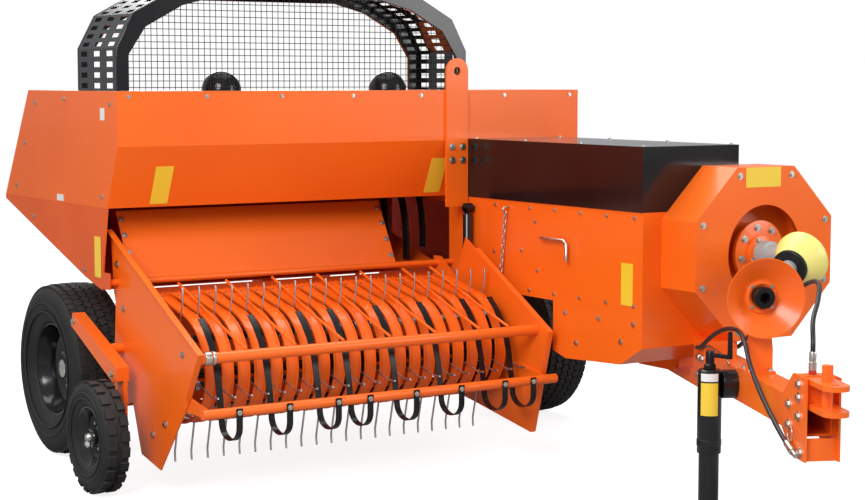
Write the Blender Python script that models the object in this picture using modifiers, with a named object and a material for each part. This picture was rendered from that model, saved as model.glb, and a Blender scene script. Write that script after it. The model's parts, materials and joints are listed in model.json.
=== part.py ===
"""Small square baler with a side pickup, on three wheels and a drawbar jack.

Metres, +Z up. The machine travels towards -Y. While it is built, x = 0 is the middle of the bale
chamber, y = 0 the right axle and z = 0 the ground; the last step puts the origin under the middle
of the whole machine.
"""

import math

import bmesh
import bpy
from mathutils import Matrix, Vector

# ---- Fits --------------------------------------------------------------------------------------
SEAT = 0.0003          # gap between faces that touch
RUNNING = 0.0007       # radial gap of a pin or shaft in its bearing
REACH = 0.02           # how far a cutter runs past the wall it cuts

# ---- Bale chamber ------------------------------------------------------------------------------
CHAMBER_WIDTH = 0.50
CHAMBER_BOTTOM = 0.724
CHAMBER_TOP = 1.133
CHAMBER_FRONT = -2.035
CHAMBER_REAR = 1.525
CHAMBER_WALL = 0.008
CHAMBER_SIDE = CHAMBER_WIDTH / 2
FEED_OPENING = (-0.62, -0.10, 0.80, 1.10)   # y from, y to, z from, z to
CRANK_BOX_DEPTH = 0.238
CRANK_BOX_LENGTH = 0.60
SHEET = 0.006

# ---- Driveline ---------------------------------------------------------------------------------
DRIVE_X = 0.207
DRIVE_Z = 0.967
GUARD_WIDTH = 0.725
GUARD_HEIGHT = 0.695
GUARD_CHAMFER = 0.21
GUARD_DEPTH = 0.211
GUARD_HOLE = 0.195
FLYWHEEL_RADIUS = 0.30
BOSS_RADIUS = 0.032
STUB_RADIUS = 0.037
JOINT_BALL = 0.0445
REAR_JOINT_Y = -2.465
SHAFT_RADIUS = 0.035
CONE_WIDE = 0.11
CONE_NARROW = 0.066
CONE_AHEAD = 0.006
CONE_LENGTH = 0.10
RING_RADIUS = 0.071
RING_LENGTH = 0.02

# ---- Drawbar -----------------------------------------------------------------------------------
ROOT_Y = -1.791
DRAWBAR_TURN = math.radians(-24.6)
BEAM_WIDTH = 0.11
BEAM_BOTTOM = 0.45
BEAM_HEIGHT = 0.12
BEAM_WALL = 0.008
BEAM_FRONT = 1.6425
BEAM_SETBACK = 0.06
BEAM_REAR = 0.345
CHEEK = 0.008
HOSE_RADIUS = 0.009
COUPLER_RADIUS = 0.014
HOLDER_ALONG = 1.53
HOLDER_TOP = 0.655
HEAD_TOP = 0.659
HEAD_BOTTOM = 0.372
CLEVIS_TOP = 0.655
CLEVIS_GAP = 0.068
CLEVIS_PLATE = 0.018
CLEVIS_LENGTH = 0.16
CLEVIS_WIDTH = 0.094
PIN_HOLE = 0.014
JACK_ALONG = 0.829
JACK_OUT = 0.155
JACK_RADIUS = 0.046
JACK_TOP = 0.569
JACK_BOTTOM = 0.246
JACK_LEG_RADIUS = 0.039
JACK_STROKE = 0.22
FUNNEL_ALONG = 1.0195
FUNNEL_Z = 0.857
FUNNEL_RADIUS = 0.15
FUNNEL_DEPTH = 0.06
COLLAR_RADIUS = 0.056
COLLAR_DEPTH = 0.03
INPUT_RADIUS = 0.028
INPUT_HUB = 0.041
FRONT_BALL = 0.036
FRONT_JOINT_GAP = 0.045

# ---- Feeder housing ----------------------------------------------------------------------------
HOUSING_RIGHT = -1.95
HOUSING_LEFT = 0.37
HOUSING_TOP = 1.615
PANEL_FRONT = -0.775
PANEL_FOLD = 1.39
INTAKE_FRONT = -0.655
HOUSING_REAR_TOP = 0.235
HOUSING_REAR_LOW = 0.555
TROUGH_LIP = (-0.585, 0.79)
TROUGH_CORNER = (-0.405, 0.83)
LID_SHEET = 0.004

# ---- Arch guard on the housing -----------------------------------------------------------------
ARCH_CENTRE = -1.105
ARCH_OUTLINE = ((0.845, 0.0), (0.845, 0.175), (0.77, 0.315), (0.605, 0.405), (0.45, 0.445))
ARCH_BAR = 0.055
ARCH_DEPTH = 0.42
ARCH_SHEET = 0.005
ARCH_HOOP = 0.02

# ---- Wheels ------------------------------------------------------------------------------------
WHEEL_STEPS = 28
TYRE_RADIUS = 0.38
TYRE_WIDTH = 0.264
RIM_RADIUS = 0.205
WHEEL_RIGHT = (-1.85, 0.0)
WHEEL_LEFT = (CHAMBER_SIDE + 0.20, -0.25)
SPINDLE = 0.03
GAUGE_RADIUS = 0.23
GAUGE_WIDTH = 0.11
GAUGE_RIM = 0.125
GAUGE_AXLE = (-2.085, -0.845)
GAUGE_SPINDLE = 0.014
AXLE_BEAM = 0.10
AXLE_BEAM_BOTTOM = 0.55

# ---- Pickup ------------------------------------------------------------------------------------
LIFT_OUT = 0.035         # lift cylinder's middle from the chamber's side
PLATE_RIGHT = -1.90
PLATE_LEFT = -CHAMBER_SIDE - 0.07
PLATE = 0.006
PIVOT = (-0.64, 0.825)
PIVOT_RADIUS = 0.014
REEL = (-1.03, 0.479)
REEL_SHAFT = 0.02
TINE_REACH = 0.365
TINE_BARS = 4
TINE_COUNT = 21
TINE_PITCH = 0.0725
TINE_FIRST = PLATE_LEFT - 0.04 - (TINE_COUNT - 1) * TINE_PITCH
TINE_SIZE = 0.007
BAR_CIRCLE = 0.148
BAR_RADIUS = 0.014
SPIDER_RIM = 0.006       # the discs' edge outside the tine bars
SPIDER_RADIUS = BAR_CIRCLE + BAR_RADIUS + SPIDER_RIM
BAND_WIDTH = 0.05
BAND_SHEET = 0.004
BAND_CENTRE = (-0.995, 0.50)
BAND_FRONT = BAR_CIRCLE + BAR_RADIUS + 0.088
BAND_ABOVE = BAR_CIRCLE + BAR_RADIUS + 0.063
BAND_BELOW = BAR_CIRCLE + BAR_RADIUS + 0.048
LIP_BAR = (-0.745, 0.765)
REAR_BEAM = (-0.60, 0.33)
WIND_TUBE = (BAND_CENTRE[0] - BAND_FRONT - 0.165, BAND_CENTRE[1] + BAND_ABOVE - 0.125)
WIND_RADIUS = 0.0225
ROD_RADIUS = 0.006
ROD_END = (-0.80, BAND_CENTRE[1] + BAND_ABOVE + 0.098)
ROD_BANDS = (1, 4, 7, 10, 13, 16, 18)
STRAP_TUBE = (BAND_CENTRE[0] - BAND_FRONT - 0.23, 0.395)
STRAP_TUBE_RADIUS = 0.02
STRAP_BANDS = (0, 3, 6, 8, 11, 14, 17, 19)
STRAP_WIDTH = 0.026
STRAP_SHEET = 0.005

ACROSS = Matrix(((0, 0, 1, 0), (1, 0, 0, 0), (0, 1, 0, 0), (0, 0, 0, 1)))    # outline in y, z
FACING = Matrix(((1, 0, 0, 0), (0, 0, -1, 0), (0, 1, 0, 0), (0, 0, 0, 1)))   # outline in x, z
FLAT = Matrix.Identity(4)                                                    # outline in x, y


# ---- Modelling helpers -------------------------------------------------------------------------
def clear_scene():
    for obj in list(bpy.data.objects):
        bpy.data.objects.remove(obj, do_unlink=True)


def new_collection(name):
    collection = bpy.data.collections.new(name)
    bpy.context.scene.collection.children.link(collection)
    return collection


def material(name, colour, roughness, metallic=0.0):
    made = bpy.data.materials.new(name)
    made.use_nodes = True
    shader = made.node_tree.nodes["Principled BSDF"]
    shader.inputs["Base Color"].default_value = (*colour, 1.0)
    shader.inputs["Roughness"].default_value = roughness
    shader.inputs["Metallic"].default_value = metallic
    return made


def place_mesh(name, shape, matrix=None):
    """A new object that holds the bmesh, with the matrix applied to its points."""
    if matrix is not None:
        shape.transform(matrix)
    mesh = bpy.data.meshes.new(name)
    shape.to_mesh(mesh)
    shape.free()
    obj = bpy.data.objects.new(name, mesh)
    PARTS.objects.link(obj)
    return obj


def as_mesh(obj):
    """The object with its modifiers or its curve turned into a plain welded mesh."""
    graph = bpy.context.evaluated_depsgraph_get()
    mesh = bpy.data.meshes.new_from_object(obj.evaluated_get(graph))
    shape = bmesh.new()
    shape.from_mesh(mesh)
    bmesh.ops.remove_doubles(shape, verts=shape.verts, dist=0.00002)
    shape.to_mesh(mesh)
    shape.free()
    name = obj.name
    made = bpy.data.objects.new(name, mesh)
    made.matrix_world = obj.matrix_world
    bpy.data.objects.remove(obj, do_unlink=True)
    made.name = name
    PARTS.objects.link(made)
    return made


def box(name, low, high):
    shape = bmesh.new()
    size = Vector(high) - Vector(low)
    centre = (Vector(high) + Vector(low)) / 2
    bmesh.ops.create_cube(shape, size=1.0, matrix=Matrix.Translation(centre) @ Matrix.Diagonal((*size, 1.0)))
    return place_mesh(name, shape)


def rod(name, start, end, radius, sides=16, end_radius=None):
    """A cylinder, or a cone, from one point to another."""
    start, end = Vector(start), Vector(end)
    along = end - start
    shape = bmesh.new()
    bmesh.ops.create_cone(shape, cap_ends=True, segments=sides, radius1=radius,
                          radius2=radius if end_radius is None else end_radius, depth=along.length)
    turn = along.to_track_quat("Z", "Y").to_matrix().to_4x4()
    return place_mesh(name, shape, Matrix.Translation((start + end) / 2) @ turn)


def ball(name, centre, radius, towards):
    """A ball with one pole towards the given direction."""
    shape = bmesh.new()
    turn = Vector(towards).to_track_quat("Z", "Y").to_matrix().to_4x4()
    bmesh.ops.create_uvsphere(shape, u_segments=12, v_segments=8, radius=radius)
    return place_mesh(name, shape, Matrix.Translation(centre) @ turn)


def smooth_path(knots, between=3):
    """Points on a Catmull-Rom curve through the knots."""
    knots = [Vector(knot) for knot in knots]
    ends = [knots[0] * 2 - knots[1]] + knots + [knots[-1] * 2 - knots[-2]]
    points = []
    for a, b, c, d in zip(ends, ends[1:], ends[2:], ends[3:]):
        for step in range(between):
            t = step / between
            points.append(0.5 * (2 * b + (c - a) * t + (2 * a - 5 * b + 4 * c - d) * t ** 2
                                 + (3 * b - a - 3 * c + d) * t ** 3))
    return points + [knots[-1]]


def tube_along(name, knots, radius):
    """A closed round tube along a smooth path."""
    points = smooth_path(knots)
    curve = bpy.data.curves.new(name, "CURVE")
    curve.dimensions = "3D"
    curve.bevel_depth = radius
    curve.bevel_resolution = 2
    curve.use_fill_caps = True
    spline = curve.splines.new("POLY")
    spline.points.add(len(points) - 1)
    for point, place in zip(spline.points, points):
        point.co = (*place, 1.0)
    obj = bpy.data.objects.new(name, curve)
    PARTS.objects.link(obj)
    bpy.context.view_layer.update()
    return as_mesh(obj)


def outline_solid(name, outlines, thickness, plane, start):
    """Flat outlines, the first outside and the others holes, extruded from start along the plane's normal."""
    curve = bpy.data.curves.new(name, "CURVE")
    curve.dimensions = "2D"
    curve.fill_mode = "BOTH"
    curve.extrude = thickness / 2
    for points in outlines:
        spline = curve.splines.new("POLY")
        spline.points.add(len(points) - 1)
        spline.use_cyclic_u = True
        for point, (across, up) in zip(spline.points, points):
            point.co = (across, up, 0.0, 1.0)
    obj = bpy.data.objects.new(name, curve)
    PARTS.objects.link(obj)
    bpy.context.view_layer.update()
    made = as_mesh(obj)
    made.data.transform(plane @ Matrix.Translation((0.0, 0.0, start + thickness / 2)))
    return made


def side_plate(name, outlines, x_from, x_to):
    return outline_solid(name, outlines, x_to - x_from, ACROSS, x_from)


def front_plate(name, outlines, y_from, y_to):
    return outline_solid(name, outlines, y_to - y_from, FACING, -y_to)


def lathe(name, profile, matrix, steps=32):
    """A closed profile of (radius, height) pairs turned about Z with a Screw, then placed by the matrix.
    The profile runs down its outer side."""
    mesh = bpy.data.meshes.new(name)
    points = [(radius, 0.0, height) for radius, height in profile]
    edges = [(index, (index + 1) % len(points)) for index in range(len(points))]
    mesh.from_pydata(points, edges, [])
    obj = bpy.data.objects.new(name, mesh)
    PARTS.objects.link(obj)
    screw = obj.modifiers.new("turn", "SCREW")
    screw.steps = steps
    screw.render_steps = steps
    screw.use_merge_vertices = True
    screw.merge_threshold = 0.00005
    bpy.context.view_layer.update()
    made = as_mesh(obj)
    shape = bmesh.new()
    shape.from_mesh(made.data)
    bmesh.ops.recalc_face_normals(shape, faces=shape.faces)
    shape.to_mesh(made.data)
    shape.free()
    made.data.transform(matrix)
    made.data.shade_smooth()
    made.data.set_sharp_from_angle(angle=math.radians(35))
    return made


def combine(target, others, operation):
    """Joins the others to the target, or cuts them from it, and removes them."""
    for index, other in enumerate(others):
        modifier = target.modifiers.new(f"{operation.lower()}_{index}", "BOOLEAN")
        modifier.operation = operation
        modifier.solver = "EXACT"
        modifier.object = other
    bpy.context.view_layer.update()
    made = as_mesh(target)
    for other in others:
        bpy.data.objects.remove(other, do_unlink=True)
    return made


def join(target, others):
    return combine(target, others, "UNION")


def cut(target, others):
    return combine(target, others, "DIFFERENCE")


def finish(obj, look, pivot=None, frame=None):
    """Gives the piece its material, its origin on its joint's axis, and its parent."""
    if pivot is not None:
        obj.data.transform(Matrix.Translation(-Vector(pivot)))
        obj.location = pivot
    obj.data.materials.clear()
    obj.data.materials.append(look)
    obj.parent = frame or MACHINE
    return obj


def circle(centre, radius, steps=16):
    return [(centre[0] + radius * math.cos(2 * math.pi * step / steps),
             centre[1] + radius * math.sin(2 * math.pi * step / steps)) for step in range(steps)]


def arc(centre, across, up, start, end, steps):
    """Points on an ellipse's arc, angles in degrees."""
    angles = [math.radians(start + (end - start) * step / steps) for step in range(steps + 1)]
    return [(centre[0] + across * math.cos(angle), centre[1] + up * math.sin(angle)) for angle in angles]


def strip(path, thickness):
    """The closed outline of a strip of sheet that follows the path on its inner side."""
    points = [Vector(point) for point in path]
    outer = []
    for index, point in enumerate(points):
        before = points[max(index - 1, 0)]
        after = points[min(index + 1, len(points) - 1)]
        along = (after - before).normalized()
        outer.append(point + thickness * Vector((-along.y, along.x)))
    return [tuple(point) for point in points] + [tuple(point) for point in reversed(outer)]


# ---- Bale chamber and its front ----------------------------------------------------------------
def make_chamber():
    side, wall = CHAMBER_SIDE, CHAMBER_WALL
    chamber = box("bale_chamber", (-side, CHAMBER_FRONT, CHAMBER_BOTTOM), (side, CHAMBER_REAR, CHAMBER_TOP))
    inside = box("inside", (-side + wall, CHAMBER_FRONT + wall, CHAMBER_BOTTOM + wall),
                 (side - wall, CHAMBER_REAR + REACH, CHAMBER_TOP - wall))
    y_from, y_to, z_from, z_to = FEED_OPENING
    feed = box("feed", (-side - REACH, y_from, z_from), (-side + 2 * REACH, y_to, z_to))
    boss = rod("boss", (DRIVE_X, CHAMBER_FRONT - REACH, DRIVE_Z), (DRIVE_X, CHAMBER_FRONT + REACH, DRIVE_Z),
               BOSS_RADIUS + 0.002, 24)
    finish(cut(chamber, [inside, feed, boss]), ORANGE)


def make_crank_box():
    front, top = CHAMBER_FRONT, CHAMBER_BOTTOM - SEAT
    bottom = CHAMBER_BOTTOM - CRANK_BOX_DEPTH
    rear = front + CRANK_BOX_LENGTH
    outline = [(front, top), (front, bottom + 0.10), (front + 0.14, bottom + 0.02), (rear - 0.09, bottom),
               (rear, bottom + 0.025), (rear, top)]
    low = bottom + SHEET
    hollow = [(front + SHEET, top + REACH), (front + SHEET, low + 0.10), (front + 0.142, low + 0.02),
              (rear - 0.092, low), (rear - SHEET, low + 0.02), (rear - SHEET, top + REACH)]
    solid = side_plate("crank_box", [outline], -CHAMBER_SIDE, CHAMBER_SIDE)
    inside = side_plate("inside", [hollow], -CHAMBER_SIDE + SHEET, CHAMBER_SIDE - SHEET)
    finish(cut(solid, [inside]), ORANGE)


def make_gearbox():
    front = CHAMBER_FRONT + CHAMBER_WALL + SEAT
    left = CHAMBER_SIDE - CHAMBER_WALL - SEAT
    block = box("gearbox", (left - 0.19, front, DRIVE_Z - 0.11), (left, front + 0.36, DRIVE_Z + 0.11))
    boss = rod("boss", (DRIVE_X, front + REACH, DRIVE_Z), (DRIVE_X, CHAMBER_FRONT - 0.05, DRIVE_Z),
               BOSS_RADIUS, 24)
    finish(join(block, [boss]), IRON)


def make_hood():
    low, high = CHAMBER_TOP + SEAT, PANEL_FOLD + 0.006
    front = CHAMBER_FRONT
    rear_low = INTAKE_FRONT - 0.012
    rear_high = PANEL_FRONT - 0.012
    outer = [(front, low), (rear_low, low), (rear_high, high), (front, high)]
    inner = [(front + SHEET, low - REACH), (rear_low - SHEET, low - REACH),
             (rear_high - SHEET, high - SHEET), (front + SHEET, high - SHEET)]
    solid = side_plate("drive_hood", [outer], -CHAMBER_SIDE - 0.004, CHAMBER_SIDE)
    inside = side_plate("inside", [inner], -CHAMBER_SIDE - 0.004 + SHEET, CHAMBER_SIDE - SHEET)
    finish(cut(solid, [inside]), BLACK)


def octagon(inset):
    half, tall, cham = GUARD_WIDTH / 2 - inset, GUARD_HEIGHT / 2 - inset, GUARD_CHAMFER - inset * 0.6
    corners = [(half, tall - cham), (half - cham, tall), (cham - half, tall), (-half, tall - cham),
               (-half, cham - tall), (cham - half, -tall), (half - cham, -tall), (half, cham - tall)]
    return [(DRIVE_X + across, DRIVE_Z + up) for across, up in corners]


def make_flywheel_guard():
    rear = CHAMBER_FRONT - SEAT
    front = rear - GUARD_DEPTH
    solid = front_plate("flywheel_guard", [octagon(0.0)], front, rear)
    inside = front_plate("inside", [octagon(SHEET)], front + SHEET, rear - SHEET)
    mouth = rod("mouth", (DRIVE_X, front - REACH, DRIVE_Z), (DRIVE_X, front + REACH, DRIVE_Z), GUARD_HOLE, 40)
    back = rod("back", (DRIVE_X, rear - REACH, DRIVE_Z), (DRIVE_X, rear + REACH, DRIVE_Z), BOSS_RADIUS + 0.006, 24)
    finish(cut(solid, [inside, mouth, back]), ORANGE)


def make_flywheel():
    """Flywheel, hub flanges and the stub with the rear joint's ball, turning about -Y."""
    rear = CHAMBER_FRONT - 0.05 - RUNNING
    profile = [(0.0, 0.148), (0.06, 0.148), (0.06, 0.134), (0.13, 0.134), (0.13, 0.11), (0.09, 0.11),
               (0.09, 0.055), (FLYWHEEL_RADIUS - 0.05, 0.05), (FLYWHEEL_RADIUS - 0.05, 0.075),
               (FLYWHEEL_RADIUS, 0.075), (FLYWHEEL_RADIUS, 0.012), (0.10, 0.018), (0.07, 0.0), (0.0, 0.0)]
    turn = Matrix.Translation((DRIVE_X, rear, DRIVE_Z)) @ Matrix.Rotation(math.radians(90), 4, "X")
    axis = (DRIVE_X, rear, DRIVE_Z)
    finish(lathe("flywheel", profile, turn, 28), ORANGE, axis)
    stub = rod("drive_stub", (DRIVE_X, rear - 0.148 - SEAT, DRIVE_Z), (DRIVE_X, REAR_JOINT_Y, DRIVE_Z),
               STUB_RADIUS, 24)
    centre = Vector((DRIVE_X, REAR_JOINT_Y, DRIVE_Z))
    end = ball("ball", centre, JOINT_BALL, front_joint() - centre)
    finish(join(stub, [end]), STEEL, axis)


# ---- Drawbar, in its own frame: y runs back from the root, turned as parked ---------------------
def drawbar_frame():
    frame = bpy.data.objects.new("drawbar_frame", None)
    PARTS.objects.link(frame)
    frame.location = (DRIVE_X, ROOT_Y, 0.0)
    frame.rotation_euler = (0.0, 0.0, DRAWBAR_TURN)
    frame.parent = MACHINE
    return frame


def on_drawbar(across, along, height):
    """A point of the drawbar's own frame, in the machine's frame."""
    turn = Matrix.Rotation(DRAWBAR_TURN, 3, "Z")
    return Vector((DRIVE_X, ROOT_Y, 0.0)) + turn @ Vector((across, -along, height))


def make_beam(frame):
    half, top = BEAM_WIDTH / 2, BEAM_BOTTOM + BEAM_HEIGHT
    front, rear = -BEAM_FRONT + BEAM_SETBACK, -BEAM_REAR
    beam = box("drawbar_beam", (-half, front, BEAM_BOTTOM), (half, rear, top))
    wall = BEAM_WALL
    bore = box("bore", (-half + wall, front - REACH, BEAM_BOTTOM + wall), (half - wall, rear + REACH, top - wall))
    finish(cut(beam, [bore]), ORANGE, frame=frame)


def make_root(frame):
    """The saddle in front of and under the crank box that holds the drawbar's rear end."""
    half, top = BEAM_WIDTH / 2 + SEAT, BEAM_BOTTOM + BEAM_HEIGHT + SEAT
    low = BEAM_BOTTOM - SEAT
    front, rear = -BEAM_REAR - 0.11, -BEAM_REAR + SEAT
    guard_low = DRIVE_Z - GUARD_HEIGHT / 2 - SEAT
    right = box("drawbar_saddle", (-half - 0.012, front, low - 0.03), (-half, rear + 0.01, guard_low))
    pieces = [box("left", (half, front, low - 0.03), (half + 0.012, rear + 0.01, guard_low)),
              box("above", (-half - 0.012, front, top), (half + 0.012, rear + 0.09, guard_low)),
              box("below", (-half - 0.012, front, low - 0.03), (half + 0.012, 0.14, low)),
              box("back", (-half - 0.012, rear, low - 0.03), (half + 0.012, rear + 0.09, guard_low))]
    saddle = join(right, pieces)
    turned = Matrix.Rotation(-DRAWBAR_TURN, 4, "Z") @ Matrix.Translation((-DRIVE_X, -ROOT_Y, 0.0))
    behind = box("behind", (-1.0, CHAMBER_FRONT - SEAT, CHAMBER_BOTTOM - CRANK_BOX_DEPTH - SEAT), (1.0, 0.0, 1.0))
    riser = box("riser", (DRIVE_X - 0.06, CHAMBER_FRONT + 0.24, low - 0.02),
                (DRIVE_X + 0.03, CHAMBER_FRONT + CRANK_BOX_LENGTH - 0.09, CHAMBER_BOTTOM - CRANK_BOX_DEPTH - SEAT))
    for piece in (behind, riser):
        piece.data.transform(turned)
    finish(join(cut(saddle, [behind]), [riser]), ORANGE, frame=frame)


def make_head(frame):
    half = BEAM_WIDTH / 2 + SEAT
    front = -BEAM_FRONT
    outline = [(front, HEAD_BOTTOM), (front, HEAD_TOP), (front + 0.13, HEAD_TOP), (front + 0.24, BEAM_BOTTOM + BEAM_HEIGHT),
               (front + 0.24, BEAM_BOTTOM), (front + 0.11, HEAD_BOTTOM)]
    right = side_plate("hitch_head", [outline], -half - CHEEK, -half)
    left = side_plate("left", [outline], half, half + CHEEK)
    web = box("web", (-half - CHEEK / 2, front + 0.02, HEAD_BOTTOM), (half + CHEEK / 2, front + 0.03, BEAM_BOTTOM - SEAT))
    floor = box("floor", (-half - CHEEK / 2, front + 0.02, HEAD_BOTTOM), (half + CHEEK / 2, front + 0.11, HEAD_BOTTOM + 0.01))
    holder = box("holder", (-half - CHEEK / 2, -HOLDER_ALONG - 0.03, HOLDER_TOP - 0.008),
                 (half + CHEEK / 2, -HOLDER_ALONG + 0.03, HOLDER_TOP))
    finish(join(right, [left, web, floor, holder]), ORANGE, frame=frame)


def make_clevis(frame):
    half = CLEVIS_WIDTH / 2
    back = -BEAM_FRONT + 0.05
    front = -BEAM_FRONT - CLEVIS_LENGTH
    pin = (0.0, front + half)
    ends = [(-half, back)] + arc(pin, half, half, 180, 360, 12) + [(half, back)]
    lower = CLEVIS_TOP - 2 * CLEVIS_PLATE - CLEVIS_GAP
    hole = circle(pin, PIN_HOLE)
    top = outline_solid("hitch_clevis", [ends, hole], CLEVIS_PLATE, FLAT, CLEVIS_TOP - CLEVIS_PLATE)
    low = outline_solid("low", [ends, hole], CLEVIS_PLATE, FLAT, lower)
    side = BEAM_WIDTH / 2
    spine = box("spine", (-side, back - 0.014, lower + 0.004), (side, back, CLEVIS_TOP - 0.004))
    tube = rod("tube", (0.0, -BEAM_FRONT - 0.035, lower + 0.005), (0.0, -BEAM_FRONT - 0.035, CLEVIS_TOP + 0.055), 0.019, 20)
    finish(join(top, [low, spine, tube]), ORANGE, frame=frame)


def make_jack(frame):
    x, y = -JACK_OUT, -JACK_ALONG
    outer = rod("jack_tube", (x, y, JACK_BOTTOM), (x, y, JACK_TOP), JACK_RADIUS, 24)
    bore = rod("bore", (x, y, JACK_BOTTOM - REACH), (x, y, JACK_TOP - 0.03), JACK_LEG_RADIUS + RUNNING, 24)
    plate = rod("plate", (-BEAM_WIDTH / 2 - SEAT, y, 0.51), (x + 0.042, y, 0.51), 0.055, 24)
    finish(cut(join(outer, [plate]), [bore]), BLACK, frame=frame)
    neck = rod("jack_crank", (x, y, JACK_TOP + SEAT), (x, y, JACK_TOP + 0.07), 0.017, 16)
    arm = rod("arm", (x - 0.01, y, JACK_TOP + 0.055), (x + 0.075, y - 0.02, JACK_TOP + 0.045), 0.009, 12)
    grip = rod("grip", (x + 0.072, y - 0.02, JACK_TOP + 0.038), (x + 0.072, y - 0.02, JACK_TOP + 0.145), 0.0105, 12)
    finish(join(neck, [arm, grip]), BLACK, frame=frame)
    foot = rod("jack_leg", (x, y, 0.0), (x, y, 0.012), 0.085, 24)
    leg = rod("leg", (x, y, 0.006), (x, y, JACK_TOP - 0.04 - JACK_STROKE), JACK_LEG_RADIUS, 24)
    finish(join(foot, [leg]), BLACK, (x, y, 0.0), frame)


def make_funnel(frame):
    """Shield, collar and stand of the half shaft's front bearing. The funnel opens forwards."""
    turn = Matrix.Translation((0.0, -FUNNEL_ALONG, FUNNEL_Z)) @ Matrix.Rotation(math.radians(90), 4, "X")
    skin = 0.004
    back = -FUNNEL_DEPTH - COLLAR_DEPTH
    bore = INPUT_RADIUS + RUNNING
    profile = [(FUNNEL_RADIUS, 0.0), (0.066, -FUNNEL_DEPTH - skin), (COLLAR_RADIUS, -FUNNEL_DEPTH - skin),
               (COLLAR_RADIUS, back), (bore, back), (bore, -FUNNEL_DEPTH), (0.064, -FUNNEL_DEPTH),
               (FUNNEL_RADIUS - skin, 0.0)]
    finish(lathe("shaft_funnel", profile, turn, 28), ORANGE, frame=frame)
    top = BEAM_BOTTOM + BEAM_HEIGHT + SEAT
    rear = -FUNNEL_ALONG + FUNNEL_DEPTH + 0.006
    stand = [(-0.05, top), (0.05, top), (0.05, top + 0.09), (0.03, FUNNEL_Z - 0.02), (-0.03, FUNNEL_Z - 0.02),
             (-0.05, top + 0.09)]
    post = front_plate("funnel_stand", [stand], rear, rear + 0.01)
    foot = box("foot", (-0.054, rear - 0.03, top), (0.054, rear + 0.10, top + 0.008))
    rib = side_plate("rib", [[(rear + 0.005, top + 0.004), (rear + 0.09, top + 0.004), (rear + 0.005, top + 0.12)]], -0.004, 0.004)
    seat = rod("seat", (0.0, rear - REACH, FUNNEL_Z), (0.0, rear + 2 * REACH, FUNNEL_Z), COLLAR_RADIUS + SEAT, 36)
    finish(cut(join(post, [foot, rib]), [seat]), ORANGE, frame=frame)


def make_hoses(frame):
    """Two hydraulic hoses: one clipped along the drawbar's right side, one parked in the holder on its head."""
    side = BEAM_WIDTH / 2 + SEAT + 0.012 + SEAT + HOSE_RADIUS
    cheek = BEAM_WIDTH / 2 + SEAT + CHEEK + SEAT + COUPLER_RADIUS
    route = [(-side, -0.38, 0.585), (-side - 0.002, -0.45, 0.60), (-0.075, -0.60, 0.665), (-0.06, -0.72, 0.705),
             (-0.053, -0.85, 0.715), (-0.066, -0.97, 0.69), (-0.08, -1.09, 0.62), (-0.082, -1.22, 0.54), (-0.08, -1.36, 0.47),
             (-cheek, -1.46, 0.425), (-cheek, -1.52, 0.408)]
    hose = tube_along("drawbar_hose", route, HOSE_RADIUS)
    end = rod("end", (-cheek, -1.51, 0.411), (-cheek, -1.60, 0.385), COUPLER_RADIUS, 12)
    finish(join(hose, [end]), RUBBER, frame=frame)
    route = [(side, -0.38, 0.585), (side + 0.004, -0.45, 0.60), (0.098, -0.60, 0.69), (0.13, -0.80, 0.82), (0.165, -0.95, 0.895),
             (0.165, -1.08, 0.925), (0.13, -1.22, 0.92), (0.075, -1.36, 0.885), (0.02, -1.47, 0.835),
             (0.0, -HOLDER_ALONG, 0.77), (0.0, -HOLDER_ALONG, 0.72)]
    hose = tube_along("lift_hose", route, HOSE_RADIUS)
    end = rod("end", (0.0, -HOLDER_ALONG, HOLDER_TOP + SEAT), (0.0, -HOLDER_ALONG, 0.735), COUPLER_RADIUS, 12)
    finish(join(hose, [end]), RUBBER, frame=frame)


def make_input_shaft(frame):
    """The splined end that the tractor's shaft fits, with the front joint's ball behind it."""
    turn = Matrix.Translation((0.0, -FUNNEL_ALONG, FUNNEL_Z)) @ Matrix.Rotation(math.radians(90), 4, "X")
    floor = -FUNNEL_DEPTH + RUNNING
    back = -FUNNEL_DEPTH - COLLAR_DEPTH
    profile = [(0.024, floor + 0.045), (INPUT_HUB, floor + 0.045), (INPUT_HUB, floor), (INPUT_RADIUS, floor),
               (INPUT_RADIUS, back - 0.012), (0.0, back - 0.012), (0.0, floor - 0.02), (0.024, floor - 0.02)]
    shaft = lathe("input_shaft", profile, turn, 24)
    joint = (0.0, -FUNNEL_ALONG - back + FRONT_JOINT_GAP, FUNNEL_Z)
    rear = Matrix.Rotation(-DRAWBAR_TURN, 3, "Z") @ (Vector((DRIVE_X, REAR_JOINT_Y, DRIVE_Z)) - front_joint())
    end = ball("ball", joint, FRONT_BALL, rear)
    finish(join(shaft, [end]), BLACK, (0.0, -FUNNEL_ALONG, FUNNEL_Z), frame)


def front_joint():
    """The front joint's centre in the machine's frame."""
    return on_drawbar(0.0, FUNNEL_ALONG - FUNNEL_DEPTH - COLLAR_DEPTH - FRONT_JOINT_GAP, FUNNEL_Z)


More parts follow.
